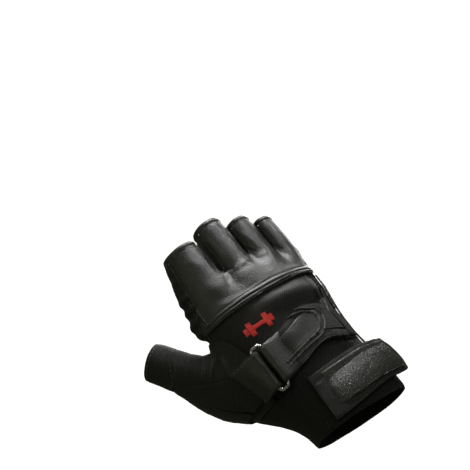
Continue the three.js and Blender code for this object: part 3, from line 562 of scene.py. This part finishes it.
def rounded(name, mesh, levels, crease):
    """A subdivided object of the mesh, with its corners kept almost sharp."""
    layer = mesh.edges.layers.float.new("crease_edge")
    for edge in sharp_edges(mesh):
        edge[layer] = crease
    data = bpy.data.meshes.new(name)
    mesh.to_mesh(data)
    piece = bpy.data.objects.new(name, data)
    bpy.context.scene.collection.objects.link(piece)
    smoother = piece.modifiers.new("smoother", "SUBSURF")
    smoother.levels = levels
    smoother.render_levels = levels
    return applied(piece)


def applied(piece):
    """The piece with its modifiers worked into its mesh."""
    graph = bpy.context.evaluated_depsgraph_get()
    data = bpy.data.meshes.new_from_object(piece.evaluated_get(graph))
    piece.modifiers.clear()
    old = piece.data
    piece.data = data
    bpy.data.meshes.remove(old)
    data.name = piece.name
    data.shade_smooth()
    return piece


def places(piece):
    data = piece.data
    points = np.empty(len(data.vertices) * 3)
    data.vertices.foreach_get("co", points)
    normals = np.empty(len(data.vertices) * 3)
    data.vertices.foreach_get("normal", normals)
    return points.reshape(-1, 3), normals.reshape(-1, 3)


def press(piece, rise):
    """Moves each point along its normal by its rise, in metres."""
    points, normals = places(piece)
    piece.data.vertices.foreach_set("co", (points + normals * rise[:, None]).ravel())
    piece.data.update()


def mark(piece, name, values):
    layer = piece.data.attributes.new(name, "FLOAT", "POINT")
    layer.data.foreach_set("value", np.asarray(values, dtype=np.float32))


def tree_of(spots):
    tree = KDTree(len(spots))
    for i, spot in enumerate(spots):
        tree.insert(spot, i)
    tree.balance()
    return tree


def distances(points, targets):
    """How far each point is from the nearest of the targets."""
    tree = tree_of(targets)
    return np.array([tree.find(p)[2] for p in points])


def ripple(points, size, stretch=(1, 1, 1), seed=0.0, octaves=2):
    """Smooth noise from -1 to 1 whose bumps are about size metres across."""
    scaled = points / size / np.array(stretch) + seed
    return np.array([noise.fractal(Vector(p), 0.8, 2.1, octaves) for p in scaled])


def bell(distance, width):
    return np.exp(-(distance / width) ** 2)


def facing(normals, way, gain):
    """From 0 to 1, how much each point faces a way; a higher gain reaches 1 sooner."""
    return np.clip((normals @ np.array(way)) * gain, 0, 1)


def around_hand(points):
    """How far round the hand each point is, in millimetres."""
    return np.arctan2(points[:, 0], -points[:, 1]) * HAND_RADIUS


def spaced(line, pitch):
    """Points along a polyline, a pitch apart, each with its direction."""
    made = []
    travelled = 0.0
    for a, b in zip(line, line[1:]):
        length = (b - a).length
        if length < 1e-9:
            continue
        while travelled <= length:
            made.append((a.lerp(b, travelled / length), (b - a).normalized()))
            travelled += pitch
        travelled -= length
    return made


def stroke_rise(piece, strokes):
    """Ridges and grooves on the side that the camera sees, each along a line of the photograph.

    Each fades towards the ends of its line.
    """
    points, normals = places(piece)
    seen, size = pixels_of(points)
    rise = np.zeros(len(points))
    for stroke in strokes:
        line = np.array(stroke["line"], float)
        nearest = np.full(len(points), 1e9)
        along = np.zeros(len(points))
        lengths = np.concatenate([[0], np.cumsum(np.linalg.norm(np.diff(line, axis=0), axis=1))])
        for k in range(len(line) - 1):
            a, b = line[k], line[k + 1]
            t = np.clip(((seen - a) @ (b - a)) / max((b - a) @ (b - a), 1e-9), 0, 1)
            away = np.linalg.norm(seen - a - t[:, None] * (b - a), axis=1)
            closer = away < nearest
            nearest = np.where(closer, away, nearest)
            along = np.where(closer, lengths[k] + t * (lengths[k + 1] - lengths[k]), along)
        share = along / lengths[-1]
        taper = np.sin(np.pi * (FOLD_TIP + (1 - 2 * FOLD_TIP) * share)) ** FOLD_FULLNESS
        rise += stroke["rise"] * MM * taper * bell(nearest / size, stroke["width"] * MM)
    return rise * facing(normals, BACK, FOLD_FACING)


def curve(pixels, steps=8):
    """A smooth run through pixels of the photograph."""
    knots = [np.array(p, float) for p in (pixels[0], *pixels, pixels[-1])]
    run = []
    for a, b, c, d in zip(knots, knots[1:], knots[2:], knots[3:]):
        for k in range(steps):
            t = k / steps
            run.append(0.5 * (2 * b + (c - a) * t + (2 * a - 5 * b + 4 * c - d) * t ** 2
                              + (3 * b - a - 3 * c + d) * t ** 3))
    return run + [knots[-1]]


def surface_of(*names):
    """One search tree over the finished pieces of these names."""
    return search_tree(*(built[name].data for name in names))


def search_tree(*meshes):
    corners = []
    faces = []
    for data in meshes:
        first = len(corners)
        corners += [v.co.copy() for v in data.vertices]
        faces += [[first + i for i in face.vertices] for face in data.polygons]
    return BVHTree.FromPolygons(corners, faces)


def drawn(pixels, surface):
    """A line of the photograph, laid on a surface."""
    line = []
    for pixel in curve(pixels):
        spot = cast(pixel, surface)[0]
        if spot is not None:
            line.append(spot)
    return line


def cords(name, lines, surface, finish, width, height):
    """Round cords, half sunk, along lines on a surface; width and height are in millimetres."""
    mesh = bmesh.new()
    for line in lines:
        spots = [p for p, _ in spaced(line, CORD_STEP)]
        frames = []
        for k, spot in enumerate(spots):
            near, out, _, _ = surface.find_nearest(spot)
            run = (spots[min(k + 1, len(spots) - 1)] - spots[max(k - 1, 0)]).normalized()
            side = out.cross(run).normalized()
            taper = min(1.0, CORD_TIP + CORD_SWELL * min(k, len(spots) - 1 - k))
            turn = Matrix((side, run.cross(side) * -1, run)).transposed().to_4x4()
            size = Matrix.Diagonal((width * MM / 2 * taper, height * MM * taper, 1, 1))
            frames.append(Matrix.Translation(near) @ turn @ size)
        if len(frames) < 2:
            continue
        made = bmesh.ops.create_circle(mesh, cap_ends=True, segments=8, radius=1, matrix=frames[0])
        face = made["verts"][0].link_faces[0]
        for before, after in zip(frames, frames[1:]):
            grown = bmesh.ops.extrude_face_region(mesh, geom=[face])["geom"]
            face = next(g for g in grown if isinstance(g, bmesh.types.BMFace))
            bmesh.ops.transform(mesh, matrix=after @ before.inverted(), verts=face.verts)
    bmesh.ops.recalc_face_normals(mesh, faces=mesh.faces)
    return new_piece(name, mesh, finish)


built = {}


def dress(name, shape=None, rows=(), move=None, crease=CREASE, edge_round=EDGE_ROUND):
    """Makes one panel, presses its rows of stitches and its own shape into it, and finishes it."""
    node, wall, levels, finish, slot = PANELS[name]
    mesh = panel_mesh(node)
    edges = rims(mesh, wall, inside_of(node))
    corners = []
    for edge in sharp_edges(mesh):
        a, b = (v.co for v in edge.verts)
        steps = max(2, int((b - a).length / EDGE_STEP))
        corners += [a.lerp(b, k / steps) for k in range(steps)]
    piece = rounded(name, mesh, levels, crease)
    mesh.free()
    points, normals = places(piece)
    points = points + seam_shift(points, edges)
    if move:
        points = move(points)
    piece.data.vertices.foreach_set("co", points.ravel())
    piece.data.update()
    points, normals = places(piece)
    surface = BVHTree.FromObject(piece, bpy.context.evaluated_depsgraph_get())
    lines = [line for row in rows for line in row_lines(edges, surface, **row)]
    edge_distance = distances(points, corners) if corners else np.full(len(points), 1.0)
    rise = -edge_round * MM * bell(edge_distance, EDGE_REACH)
    for line in lines:
        near = distances(points, [p for p, _ in spaced(line, EDGE_STEP)])
        rise -= ROW_DEPTH * bell(near, ROW_REACH)
    if shape:
        rise += shape(points, normals, edge_distance, piece)
    press(piece, rise)
    high = np.clip(rise / WORN_RISE, -1, 1)
    mark(piece, "worn", np.clip(WORN_SHARE * (bell(edge_distance, WORN_REACH) + high), 0, 1))
    mark(piece, "satin", satin_share(points) if node == "back_fabric" else np.zeros(len(points)))
    mark(piece, "around", around_hand(points))
    mark(piece, "up", points[:, 2] / MM)
    mark(piece, "rib", (points @ np.array(RIGHT)) / MM * (2 * math.pi / RIB_PITCH))
    piece.data.materials.clear()
    piece.data.materials.append(finishes[finish])
    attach(piece, "root")
    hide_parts(node)
    built[name] = piece
    return piece, lines


def satin_share(points):
    """How much of the sheen of the cloth roll each point has."""
    seen, _ = pixels_of(points)
    away = np.min([np.linalg.norm(seen - np.array(pixel), axis=1) for pixel in ROLL_LINE], axis=0)
    return bell(away, ROLL_REACH)


def row_lines(edges, surface, offset, keep):
    """Lines on a panel at an offset from its rims, where keep(point) holds."""
    found = []
    for loop in edges:
        run = []
        for point, out, inward in loop + loop[:1]:
            if keep(point / MM):
                spot = surface.find_nearest(point + inward * offset * MM)[0]
                run.append(spot)
            else:
                if len(run) > 1:
                    found.append(run)
                run = []
        if len(run) > 1:
            found.append(run)
    return found


def stitches(name, lines, on, length=STITCH_LENGTH, gap=STITCH_GAP, width=THREAD):
    """Rows of thread: short beads that lie along the lines on a finished piece."""
    surface = BVHTree.FromObject(on, bpy.context.evaluated_depsgraph_get())
    mesh = bmesh.new()
    for line in lines:
        for point, run in spaced(line, length + gap):
            spot, out, _, _ = surface.find_nearest(point + run * length / 2)
            side = out.cross(run).normalized()
            run = side.cross(out)
            turn = Matrix((run, side, out)).transposed().to_4x4()
            size = Matrix.Diagonal((length / 2, width / 2, width * THREAD_FLATNESS, 1))
            bmesh.ops.create_uvsphere(
                mesh, u_segments=6, v_segments=4, radius=1,
                matrix=Matrix.Translation(spot + out * width * THREAD_LIFT) @ turn @ size @ LYING,
            )
    return new_piece(name, mesh, "black_thread")


def new_piece(name, mesh, finish):
    data = bpy.data.meshes.new(name)
    mesh.to_mesh(data)
    mesh.free()
    data.shade_smooth()
    data.materials.append(finishes[finish])
    piece = bpy.data.objects.new(name, data)
    bpy.context.scene.collection.objects.link(piece)
    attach(piece, "root")
    built[name] = piece
    return piece


# Folds that the photograph shows, as lines of its frame with a rise and a width in millimetres
KNUCKLE_FOLDS = [
    dict(line=[(207, 258), (213, 266), (222, 270.5), (233, 269)], rise=-0.8, width=1.1),
    dict(line=[(231, 234), (241, 246), (254, 251)], rise=-0.7, width=1.0),
    dict(line=[(261, 236), (269, 243), (282, 249)], rise=-0.6, width=1.0),
    dict(line=[(202, 291), (220, 287), (238, 278), (254, 268), (268, 262)], rise=1.3, width=4.6),
    dict(line=[(224, 279), (229, 274)], rise=0.7, width=2.6),
    dict(line=[(241, 266), (246, 260)], rise=0.5, width=2.2),
    dict(line=[(216, 279), (226, 275.5), (238, 267), (248, 259)], rise=0.35, width=1.6),
    dict(line=[(246, 257), (258, 256), (271, 252)], rise=0.35, width=1.8),
    dict(line=[(218, 300), (240, 292), (262, 280)], rise=-0.25, width=1.6),
    dict(line=[(222, 306), (242, 297), (262, 286), (284, 272)], rise=0.22, width=1.6),
    dict(line=[(178, 266), (192, 262), (205, 268)], rise=0.25, width=2.6),
    dict(line=[(206, 240), (214, 247), (222, 257)], rise=0.35, width=2.0),
    dict(line=[(232, 226), (244, 236), (258, 245)], rise=0.3, width=1.8),
]
THUMB_FOLDS = [
    dict(line=[(176, 361), (175, 381)], rise=0.5, width=0.9),
    dict(line=[(181, 360), (181, 383)], rise=0.6, width=0.9),
    dict(line=[(187, 362), (186, 382)], rise=0.5, width=0.9),
    dict(line=[(196, 364), (195, 381)], rise=0.5, width=1.0),
    dict(line=[(214, 361), (211, 382)], rise=1.4, width=1.1),
    dict(line=[(223, 359), (230, 378)], rise=1.6, width=1.2),
    dict(line=[(218, 360), (220, 380)], rise=-0.6, width=1.2),
    dict(line=[(205, 362), (204, 380)], rise=0.9, width=1.2),
    dict(line=[(183, 388), (206, 384), (221, 383), (231, 378)], rise=-0.5, width=0.7),
    dict(line=[(184, 390), (206, 386.4), (221, 385.4), (231, 380)], rise=0.5, width=0.8),
    dict(line=[(190, 400), (215, 412), (240, 418)], rise=0.5, width=2.2),
    dict(line=[(225, 392), (245, 402), (262, 412)], rise=0.4, width=2.0),
]
BACK_FOLDS = [
    dict(line=[(258, 308), (276, 298), (296, 289), (312, 288)], rise=2.2, width=5.0),
    dict(line=[(300, 272), (312, 276), (321, 288), (322, 298), (314, 304)], rise=-1.2, width=1.8),
    dict(line=[(333, 352), (342, 345), (352, 343), (362, 346)], rise=1.1, width=2.2),
    dict(line=[(333, 346), (343, 340), (354, 339)], rise=-0.6, width=1.2),
    dict(line=[(224, 340), (226, 360)], rise=0.9, width=1.3),
    dict(line=[(232, 336), (236, 356)], rise=0.35, width=1.4),
]
STRAP_FOLDS = [
    dict(line=[(270, 352), (284, 338), (300, 323)], rise=0.9, width=4.5),
    dict(line=[(275, 345), (284, 349), (288, 356)], rise=0.3, width=1.5),
]


def knuckle_shape(points, normals, edge, piece):
    lower = distances(points, hem_line)
    hem = sum(r["rise"] * MM * bell(lower - r["place"] * MM, r["width"] * MM) for r in HEM_RELIEF)
    outer = facing(normals, -PALMWARD, 2)
    soft = 0.12 * MM * ripple(points, 9 * MM, (1.8, 1, 0.8), seed=3.1)
    fine = 0.035 * MM * ripple(points, 2.6 * MM, (1.7, 1, 0.8), seed=7.7, octaves=3)
    return hem * outer + soft + fine + stroke_rise(piece, KNUCKLE_FOLDS)


def back_shape(points, normals, edge, piece):
    soft = 0.1 * MM * ripple(points, 8 * MM, (1, 1, 1.5), seed=1.3)
    return soft + stroke_rise(piece, BACK_FOLDS)


def palm_shape(points, normals, edge, piece):
    across = points[:, 0] / MM
    up = points[:, 2] / MM
    out = np.clip((RUFFLE_OUT - across) / RUFFLE_OUT_FADE, 0, 1)
    between = np.clip((up - RUFFLE_LOW) / RUFFLE_FADE, 0, 1) * np.clip((RUFFLE_HIGH - up) / RUFFLE_FADE, 0, 1)
    sway = 0.5 * np.sin(across * 0.4)
    ruffle = RUFFLE_RISE * out * between * np.sin(up * 2 * math.pi / RUFFLE_PITCH + sway)
    soft = 0.25 * MM * ripple(points, 8 * MM, (1.4, 1, 0.9), seed=5.9)
    fine = 0.09 * MM * ripple(points, 2.4 * MM, seed=2.2, octaves=3)
    return ruffle + soft + fine


def thumb_shape(points, normals, edge, piece):
    soft = 0.16 * MM * ripple(points, 7 * MM, seed=4.4)
    return soft + stroke_rise(piece, THUMB_FOLDS)


def cloth_shape(points, normals, edge, piece):
    return 0.12 * MM * ripple(points, 7 * MM, seed=8.8)


def cuff_shape(points, normals, edge, piece):
    """Every second wale of the knit stands up."""
    wale = WALE_RISE * np.sin(around_hand(points) * math.pi / WALE_PITCH)
    soft = 0.3 * MM * ripple(points, 12 * MM, (1.6, 1.6, 0.6), seed=6.1)
    return wale + soft


def leather_shape(points, normals, edge, piece):
    soft = 0.1 * MM * ripple(points, 6 * MM, seed=9.2)
    fine = 0.025 * MM * ripple(points, 2.0 * MM, seed=2.9, octaves=3)
    return soft + fine


def past_strap_end(points):
    """How many pixels past the curved end of the strap's leather each point shows."""
    seen, _ = pixels_of(points)
    return seen[:, 0] - STRAP_END_PIXEL + STRAP_END_BEND * (seen[:, 1] - STRAP_END_MIDDLE) ** 2


def show_tape(piece):
    """The part of a piece past the strap's end is rough tape."""
    piece.data.materials.append(finishes["hook"])
    centres = np.array([face.center for face in piece.data.polygons])
    past = past_strap_end(centres) > STRAP_END_FADE
    piece.data.polygons.foreach_set("material_index", past.astype(np.int32))
    piece.data.update()


def sink_strap(points):
    """Lets the strap's leather run out of its fold without a step."""
    low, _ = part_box("back_strap_leather")
    moved = points.copy()
    moved[:, 1] += STRAP_SINK * np.exp(-(points[:, 0] - low.x) / STRAP_SINK_REACH)
    return moved


def strap_shape(points, normals, edge, piece):
    """Pressed down past the strap's end, where the rough tape shows."""
    sunk = TAPE_SINK * np.clip(past_strap_end(points) / STRAP_END_FADE, 0, 1)
    return leather_shape(points, normals, edge, piece) - sunk + stroke_rise(piece, STRAP_FOLDS)


def pebbled_shape(points, normals, edge, piece):
    cushion = CUSHION_RISE * (1 - bell(edge, CUSHION_REACH))
    return cushion * facing(normals, CUSHION_WAY, 2) + 0.12 * MM * ripple(points, 9 * MM, seed=9.2)


def shares(points, low, high):
    """How far along a box, from its far end, and how far up it each point is."""
    along = np.clip((high.x - points[:, 0]) / (high.x - low.x), 0, 1)
    above = np.clip((points[:, 2] - low.z) / (high.z - low.z), 0, 1)
    return along, above


def widen_wrap(points):
    """Draws the wrap's upper edge up towards its sewn end."""
    along, above = shares(points, *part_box("wrist_strap"))
    moved = points.copy()
    moved[:, 2] += WRAP_WIDENING * along * above ** WRAP_EASE
    return moved


def inset_patch(points):
    """Sets the leather patch in from the sewn end, over the same curved strap."""
    low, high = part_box("wrist_strap_leather")
    strap = search_tree(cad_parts["wrist_strap"].data)
    along, above = shares(points, low, high)

    def strap_at(point):
        height = min(max(point[2], low.z), high.z)
        return strap.ray_cast(Vector((point[0], FRONT, height)), PALMWARD)[0]

    moved = points.copy()
    moved[:, 0] += PATCH_INSET * along ** WRAP_EASE
    for i, (old, new) in enumerate(zip(points, moved)):
        before = strap_at(old)
        after = strap_at(new)
        if before is not None and after is not None:
            moved[i, 1] += after.y - before.y
    moved[:, 2] += along * (WRAP_WIDENING * above ** WRAP_EASE + PATCH_LIFT * (1 - above))
    moved[:, 1] += PATCH_SINK * np.exp(-(points[:, 0] - low.x) / PATCH_SINK_REACH)
    return moved


def pad_shape(points, normals, edge, piece):
    soft = 0.3 * MM * ripple(points, 7 * MM, (1.5, 1, 0.8), seed=3.9)
    return soft + 0.08 * MM * ripple(points, 2.2 * MM, seed=1.1, octaves=3)


def tape_shape(points, normals, edge, piece):
    return 0.28 * MM * np.abs(ripple(points, 0.9 * MM, seed=6.6, octaves=3))


def hem_points():
    """The lower rim of the knuckle panel, as points close together."""
    mesh = panel_mesh("back_leather")
    points = []
    for loop in rims(mesh, LEATHER_WALL, inside_of("back_leather")):
        low = [corner for corner, _, _ in loop if corner.z < HEM_TOP * MM]
        points += [point for point, _ in spaced(low, EDGE_STEP)]
    mesh.free()
    return points


hem_line = hem_points()

# Stitched rows: offset from the rim in millimetres, and where along it
KNUCKLE_ROWS = [
    dict(offset=2.7, keep=lambda p: p.z < HEM_TOP),
    dict(offset=6.4, keep=lambda p: p.z < HEM_TOP),
    dict(offset=1.7, keep=lambda p: STALL_ROW_LOW < p.z < STALL_ROW_HIGH),
]
PALM_ROWS = [dict(offset=1.8, keep=lambda p: PALM_ROW_LOW < p.z < PALM_ROW_HIGH)]
THUMB_ROWS = [dict(offset=1.5, keep=lambda p: p.x < THUMB_ROW_OUT)]
PATCH_ROWS = [dict(offset=1.0, keep=lambda p: True)]
TAB_ROWS = [dict(offset=1.2, keep=lambda p: True)]

dress("knuckle_panel", knuckle_shape, KNUCKLE_ROWS)
dress("ribbed_back", back_shape)
palm_panel, palm_lines = dress("palm_panel", palm_shape, PALM_ROWS)
stitches("palm_stitching", palm_lines, palm_panel)
for name in ("side_index_middle", "side_middle_ring", "side_ring_little"):
    dress(name, leather_shape)
for name in ("index_rim", "middle_rim", "ring_rim", "little_rim"):
    dress(name, leather_shape)
dress("knitted_cuff", cuff_shape)
dress("thumb_panel", thumb_shape)
dress("thumb_web_patch", palm_shape)
thumb_rim, thumb_rim_lines = dress("thumb_rim", thumb_shape, THUMB_ROWS)
stitches("thumb_rim_stitching", thumb_rim_lines, thumb_rim)
dress("wrist_wrap", cloth_shape, move=widen_wrap)
dress("wrist_wrap_leather", pebbled_shape, PATCH_ROWS, move=inset_patch)
dress("wrist_wrap_hook", tape_shape)
dress("strap_sheet", leather_shape)
dress("strap_leather", strap_shape, move=sink_strap, edge_round=0.1)
for name in ("strap_binding_upper", "strap_binding_lower"):
    dress(name, cloth_shape)
dress("strap_loop_tape", tape_shape)
for name in ("strap_leather", "strap_binding_upper", "strap_binding_lower"):
    show_tape(built[name])
dress("buckle_ring", crease=0, edge_round=0)
ring_tab, tab_lines = dress("ring_tab", leather_shape, TAB_ROWS)
stitches("ring_tab_stitching", tab_lines, ring_tab)
dress("seam_piping", leather_shape)
for name in ("palm_pad_fingers", "palm_pad_heel"):
    dress(name, pad_shape)

# Cords and rows of thread, as lines of pixels of the photograph
HEM_CORDS = [
    [(216, 334), (236, 316), (256, 300), (276, 286), (297, 274), (309, 270)],
    [(217, 329.5), (236, 312.5), (256, 296.5), (276, 282.5), (296, 271)],
]
EDGE_CORDS = [
    [(164, 258), (172, 275), (184, 292), (199, 314), (214, 333)],
]
KNUCKLE_STITCHES = [
    [(219, 325), (237, 308.5), (256, 293), (276, 279), (294, 268)],
    [(167, 261), (175, 277), (187, 294), (202, 315), (216, 329)],
    [(168, 257.5), (178, 251.5), (192, 247)],
    [(198, 233), (208, 223.5), (218, 221.5)],
    [(229, 227), (237, 220.5), (245, 219)],
    [(256, 223), (262, 218.5), (267, 217.5)],
    [(197, 232), (206, 248), (214, 263), (223, 267), (232, 266)],
    [(222, 222), (234, 235), (243, 243.5), (254, 247.5)],
    [(252, 219), (263, 235), (271, 241), (281, 246.5)],
]
STRAP_CORDS = [
    [(255, 344), (267, 331.5), (277, 322), (286, 314), (298, 309), (308, 308.5), (316, 309), (322, 315),
     (325, 325), (321, 335), (312, 343), (300, 355), (289, 367)],
    [(258, 347), (270, 335), (280, 325.5), (288, 318), (299, 312.5), (308, 312), (314, 313), (318.5, 318),
     (320, 326), (316.5, 333), (308, 341), (296, 353), (286, 364)],
]
STRAP_STITCHES = [
    [(261, 350), (273, 338), (283, 328.5), (291, 321), (300, 315.5), (308, 315.5)],
    [(302, 341), (292, 351), (283, 360)],
]
SIDE_CORDS = [
    [(305, 272), (314, 281), (321, 293), (326, 305), (333, 319), (341, 332), (349, 342)],
    [(302, 274), (311, 283), (317, 294), (322, 306), (328, 320), (336, 333), (344, 343)],
]
WRAP_STITCHES = [
    [(330, 367.5), (345, 358.5), (358, 351.5), (370, 347), (380, 349), (393, 359), (405, 370)],
    [(346, 398), (360, 389), (373, 381), (386, 376), (400, 375)],
]
THUMB_CORDS = [
    [(182, 389), (193, 385.5), (206, 384.5), (220, 383.5), (231, 378.5)],
]


def all_drawn(lines, surface):
    return [drawn(pixels, surface) for pixels in lines]


knuckles = surface_of("knuckle_panel")
cords("hem_cord", all_drawn(HEM_CORDS, knuckles), knuckles, "leather", 1.1, 0.5)
cords("edge_cord", all_drawn(EDGE_CORDS, knuckles), knuckles, "leather", 0.9, 0.4)
stitches("knuckle_stitching", all_drawn(KNUCKLE_STITCHES, knuckles), built["knuckle_panel"], **FINE_STITCH)
strap = surface_of("strap_leather", "strap_sheet", "strap_binding_upper", "strap_binding_lower",
                   "strap_loop_tape")
cords("strap_cord", all_drawn(STRAP_CORDS, strap), strap, "binding", 1.5, 0.7)
stitches("strap_stitching", all_drawn(STRAP_STITCHES, strap), built["strap_leather"], **FINE_STITCH)
side = surface_of("ribbed_back", "seam_piping", "palm_panel", "knitted_cuff", "strap_sheet",
                  "strap_loop_tape")
cords("side_cord", all_drawn(SIDE_CORDS, side), side, "binding", 1.4, 0.8)
wrap = surface_of("wrist_wrap_leather", "wrist_wrap")
stitches("wrist_wrap_stitching", all_drawn(WRAP_STITCHES, wrap), built["wrist_wrap_leather"], **WRAP_STITCH)
thumb = surface_of("thumb_panel")
cords("thumb_cord", all_drawn(THUMB_CORDS, thumb), thumb, "ribbed", 1.2, 0.45)


# The dumbbell, worked in satin stitch: a bar with two plates at each end
DUMBBELL_BARS = [
    dict(start=0.0, end=0.11, height=0.5),
    dict(start=0.13, end=0.29, height=1.0),
    dict(start=0.30, end=0.70, height=0.3),
    dict(start=0.71, end=0.87, height=1.0),
    dict(start=0.89, end=1.0, height=0.5),
]


def embroider():
    low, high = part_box("emblem")
    surface = BVHTree.FromObject(built["ribbed_back"], bpy.context.evaluated_depsgraph_get())
    draw = random.Random(11)
    mesh = bmesh.new()
    width = high.x - low.x
    tall = high.z - low.z
    middle = (low.z + high.z) / 2
    count = int(width / SATIN_PITCH)
    for k in range(count + 1):
        share = k / count
        for bar in DUMBBELL_BARS:
            if not bar["start"] <= share <= bar["end"]:
                continue
            half = tall / 2 * bar["height"] * (1 + draw.uniform(-SATIN_UNEVEN, SATIN_UNEVEN))
            ends = []
            for z in (middle - half, middle + half):
                origin = Vector((low.x + width * share, low.y - 20 * MM, z))
                ends.append(surface.ray_cast(origin, PALMWARD)[:2])
            (a, out_a), (b, out_b) = ends
            out = (out_a + out_b).normalized()
            run = (b - a).normalized()
            side = out.cross(run).normalized()
            turn = Matrix((run, side, side.cross(run) * -1)).transposed().to_4x4()
            size = Matrix.Diagonal(((b - a).length / 2, SATIN / 2, SATIN_RISE, 1))
            bmesh.ops.create_uvsphere(
                mesh, u_segments=8, v_segments=6, radius=1,
                matrix=Matrix.Translation((a + b) / 2 + out * SATIN_LIFT) @ turn @ size @ LYING,
            )
    bmesh.ops.recalc_face_normals(mesh, faces=mesh.faces)
    piece = new_piece("embroidered_dumbbell", mesh, "red_thread")
    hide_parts("emblem")


embroider()


# Floor, backdrop and lights

def plain(name, grey, glow):
    """A pale, faintly glowing paint."""
    f = Finish(name, Roughness=0.9, Emission_Strength=glow)
    dust = f.speckle(40.0, detail=2.0)
    tone = f.blend(dust, (grey * 0.985,) * 3, (grey,) * 3)
    f.feed(f.shader.inputs["Emission Color"], tone)
    return f.paint(tone)


def stage_piece(name, mesh, paint):
    """A piece of the studio that the camera sees and that lights nothing."""
    data = bpy.data.meshes.new(name)
    mesh.to_mesh(data)
    mesh.free()
    data.materials.append(paint)
    thing = bpy.data.objects.new(name, data)
    bpy.context.scene.collection.objects.link(thing)
    thing.visible_diffuse = False
    thing.visible_glossy = False
    return thing


def make_stage():
    mesh = bmesh.new()
    bmesh.ops.create_circle(mesh, cap_ends=True, segments=64, radius=FLOOR_RADIUS,
                            matrix=Matrix.Translation((0, 0, FLOOR_HEIGHT)))
    floor = stage_piece("floor", mesh, plain("floor_paint", 0.85, 0.75))
    mesh = bmesh.new()
    bmesh.ops.create_icosphere(mesh, subdivisions=4, radius=BACKDROP_RADIUS)
    bmesh.ops.reverse_faces(mesh, faces=mesh.faces)
    backdrop = stage_piece("backdrop", mesh, plain("backdrop_paint", 0.95, 1.05))
    backdrop.data.shade_smooth()
    backdrop.visible_shadow = False


def place_lamp(name, data, aim, towards, distance):
    """Stands a lamp off from the place that it shines on."""
    lamp = bpy.data.objects.new(name, data)
    towards = towards.normalized()
    turn = towards.to_track_quat("Z", "Y").to_matrix().to_4x4()
    lamp.matrix_world = Matrix.Translation(aim + towards * distance) @ turn
    bpy.context.scene.collection.objects.link(lamp)


def make_light(name, towards, distance, size, power, colour=(1, 1, 1)):
    data = bpy.data.lights.new(name, "AREA")
    data.shape = "DISK"
    data.size = size
    data.energy = power
    data.color = colour
    place_lamp(name, data, AIM, towards, distance)


def make_spot(name, pixel, power, cone, radius):
    """A soft spotlight whose light shines off the piece that shows at a pixel of the photograph."""
    surface = surface_of(*built)
    out = Vector()
    for across in (-SPOT_STEP, 0, SPOT_STEP):
        for down in (-SPOT_STEP, 0, SPOT_STEP):
            out += cast((pixel[0] + across, pixel[1] + down), surface)[1]
    data = bpy.data.lights.new(name, "SPOT")
    data.energy = power
    data.spot_size = math.radians(cone)
    data.spot_blend = 1.0
    data.shadow_soft_size = radius
    place_lamp(name, data, cast(pixel, surface)[0], -BACK.reflect(out.normalized()), SPOT_DISTANCE)


def make_lights():
    make_light("key", TOP - BACK * 0.3 - RIGHT * 0.25, 1.0, 0.42, 12)
    make_light("fill", BACK - RIGHT * 0.9 + TOP * 0.2, 1.3, 0.9, 2.8, WARM)
    make_light("side", RIGHT * 0.5 + BACK * 0.6 + TOP, 1.2, 0.4, 1.6)
    make_light("behind", TOP * 0.4 - BACK, 1.3, 0.9, 20)
    make_spot("spot_knuckles", (222, 277), 520, 2.5, 0.1)
    make_spot("spot_wrap", (350, 364), 130, 2.6, 0.2)
    make_spot("spot_strap", (282, 329), 200, 2.2, 0.12)
    world = bpy.data.worlds.new("studio")
    world.use_nodes = True
    sky = world.node_tree.nodes["Background"].inputs
    sky["Color"].default_value = (*WARM, 1)
    sky["Strength"].default_value = SKY_STRENGTH
    bpy.context.scene.world = world
    bpy.context.scene.view_settings.view_transform = "Standard"


make_stage()
make_lights()
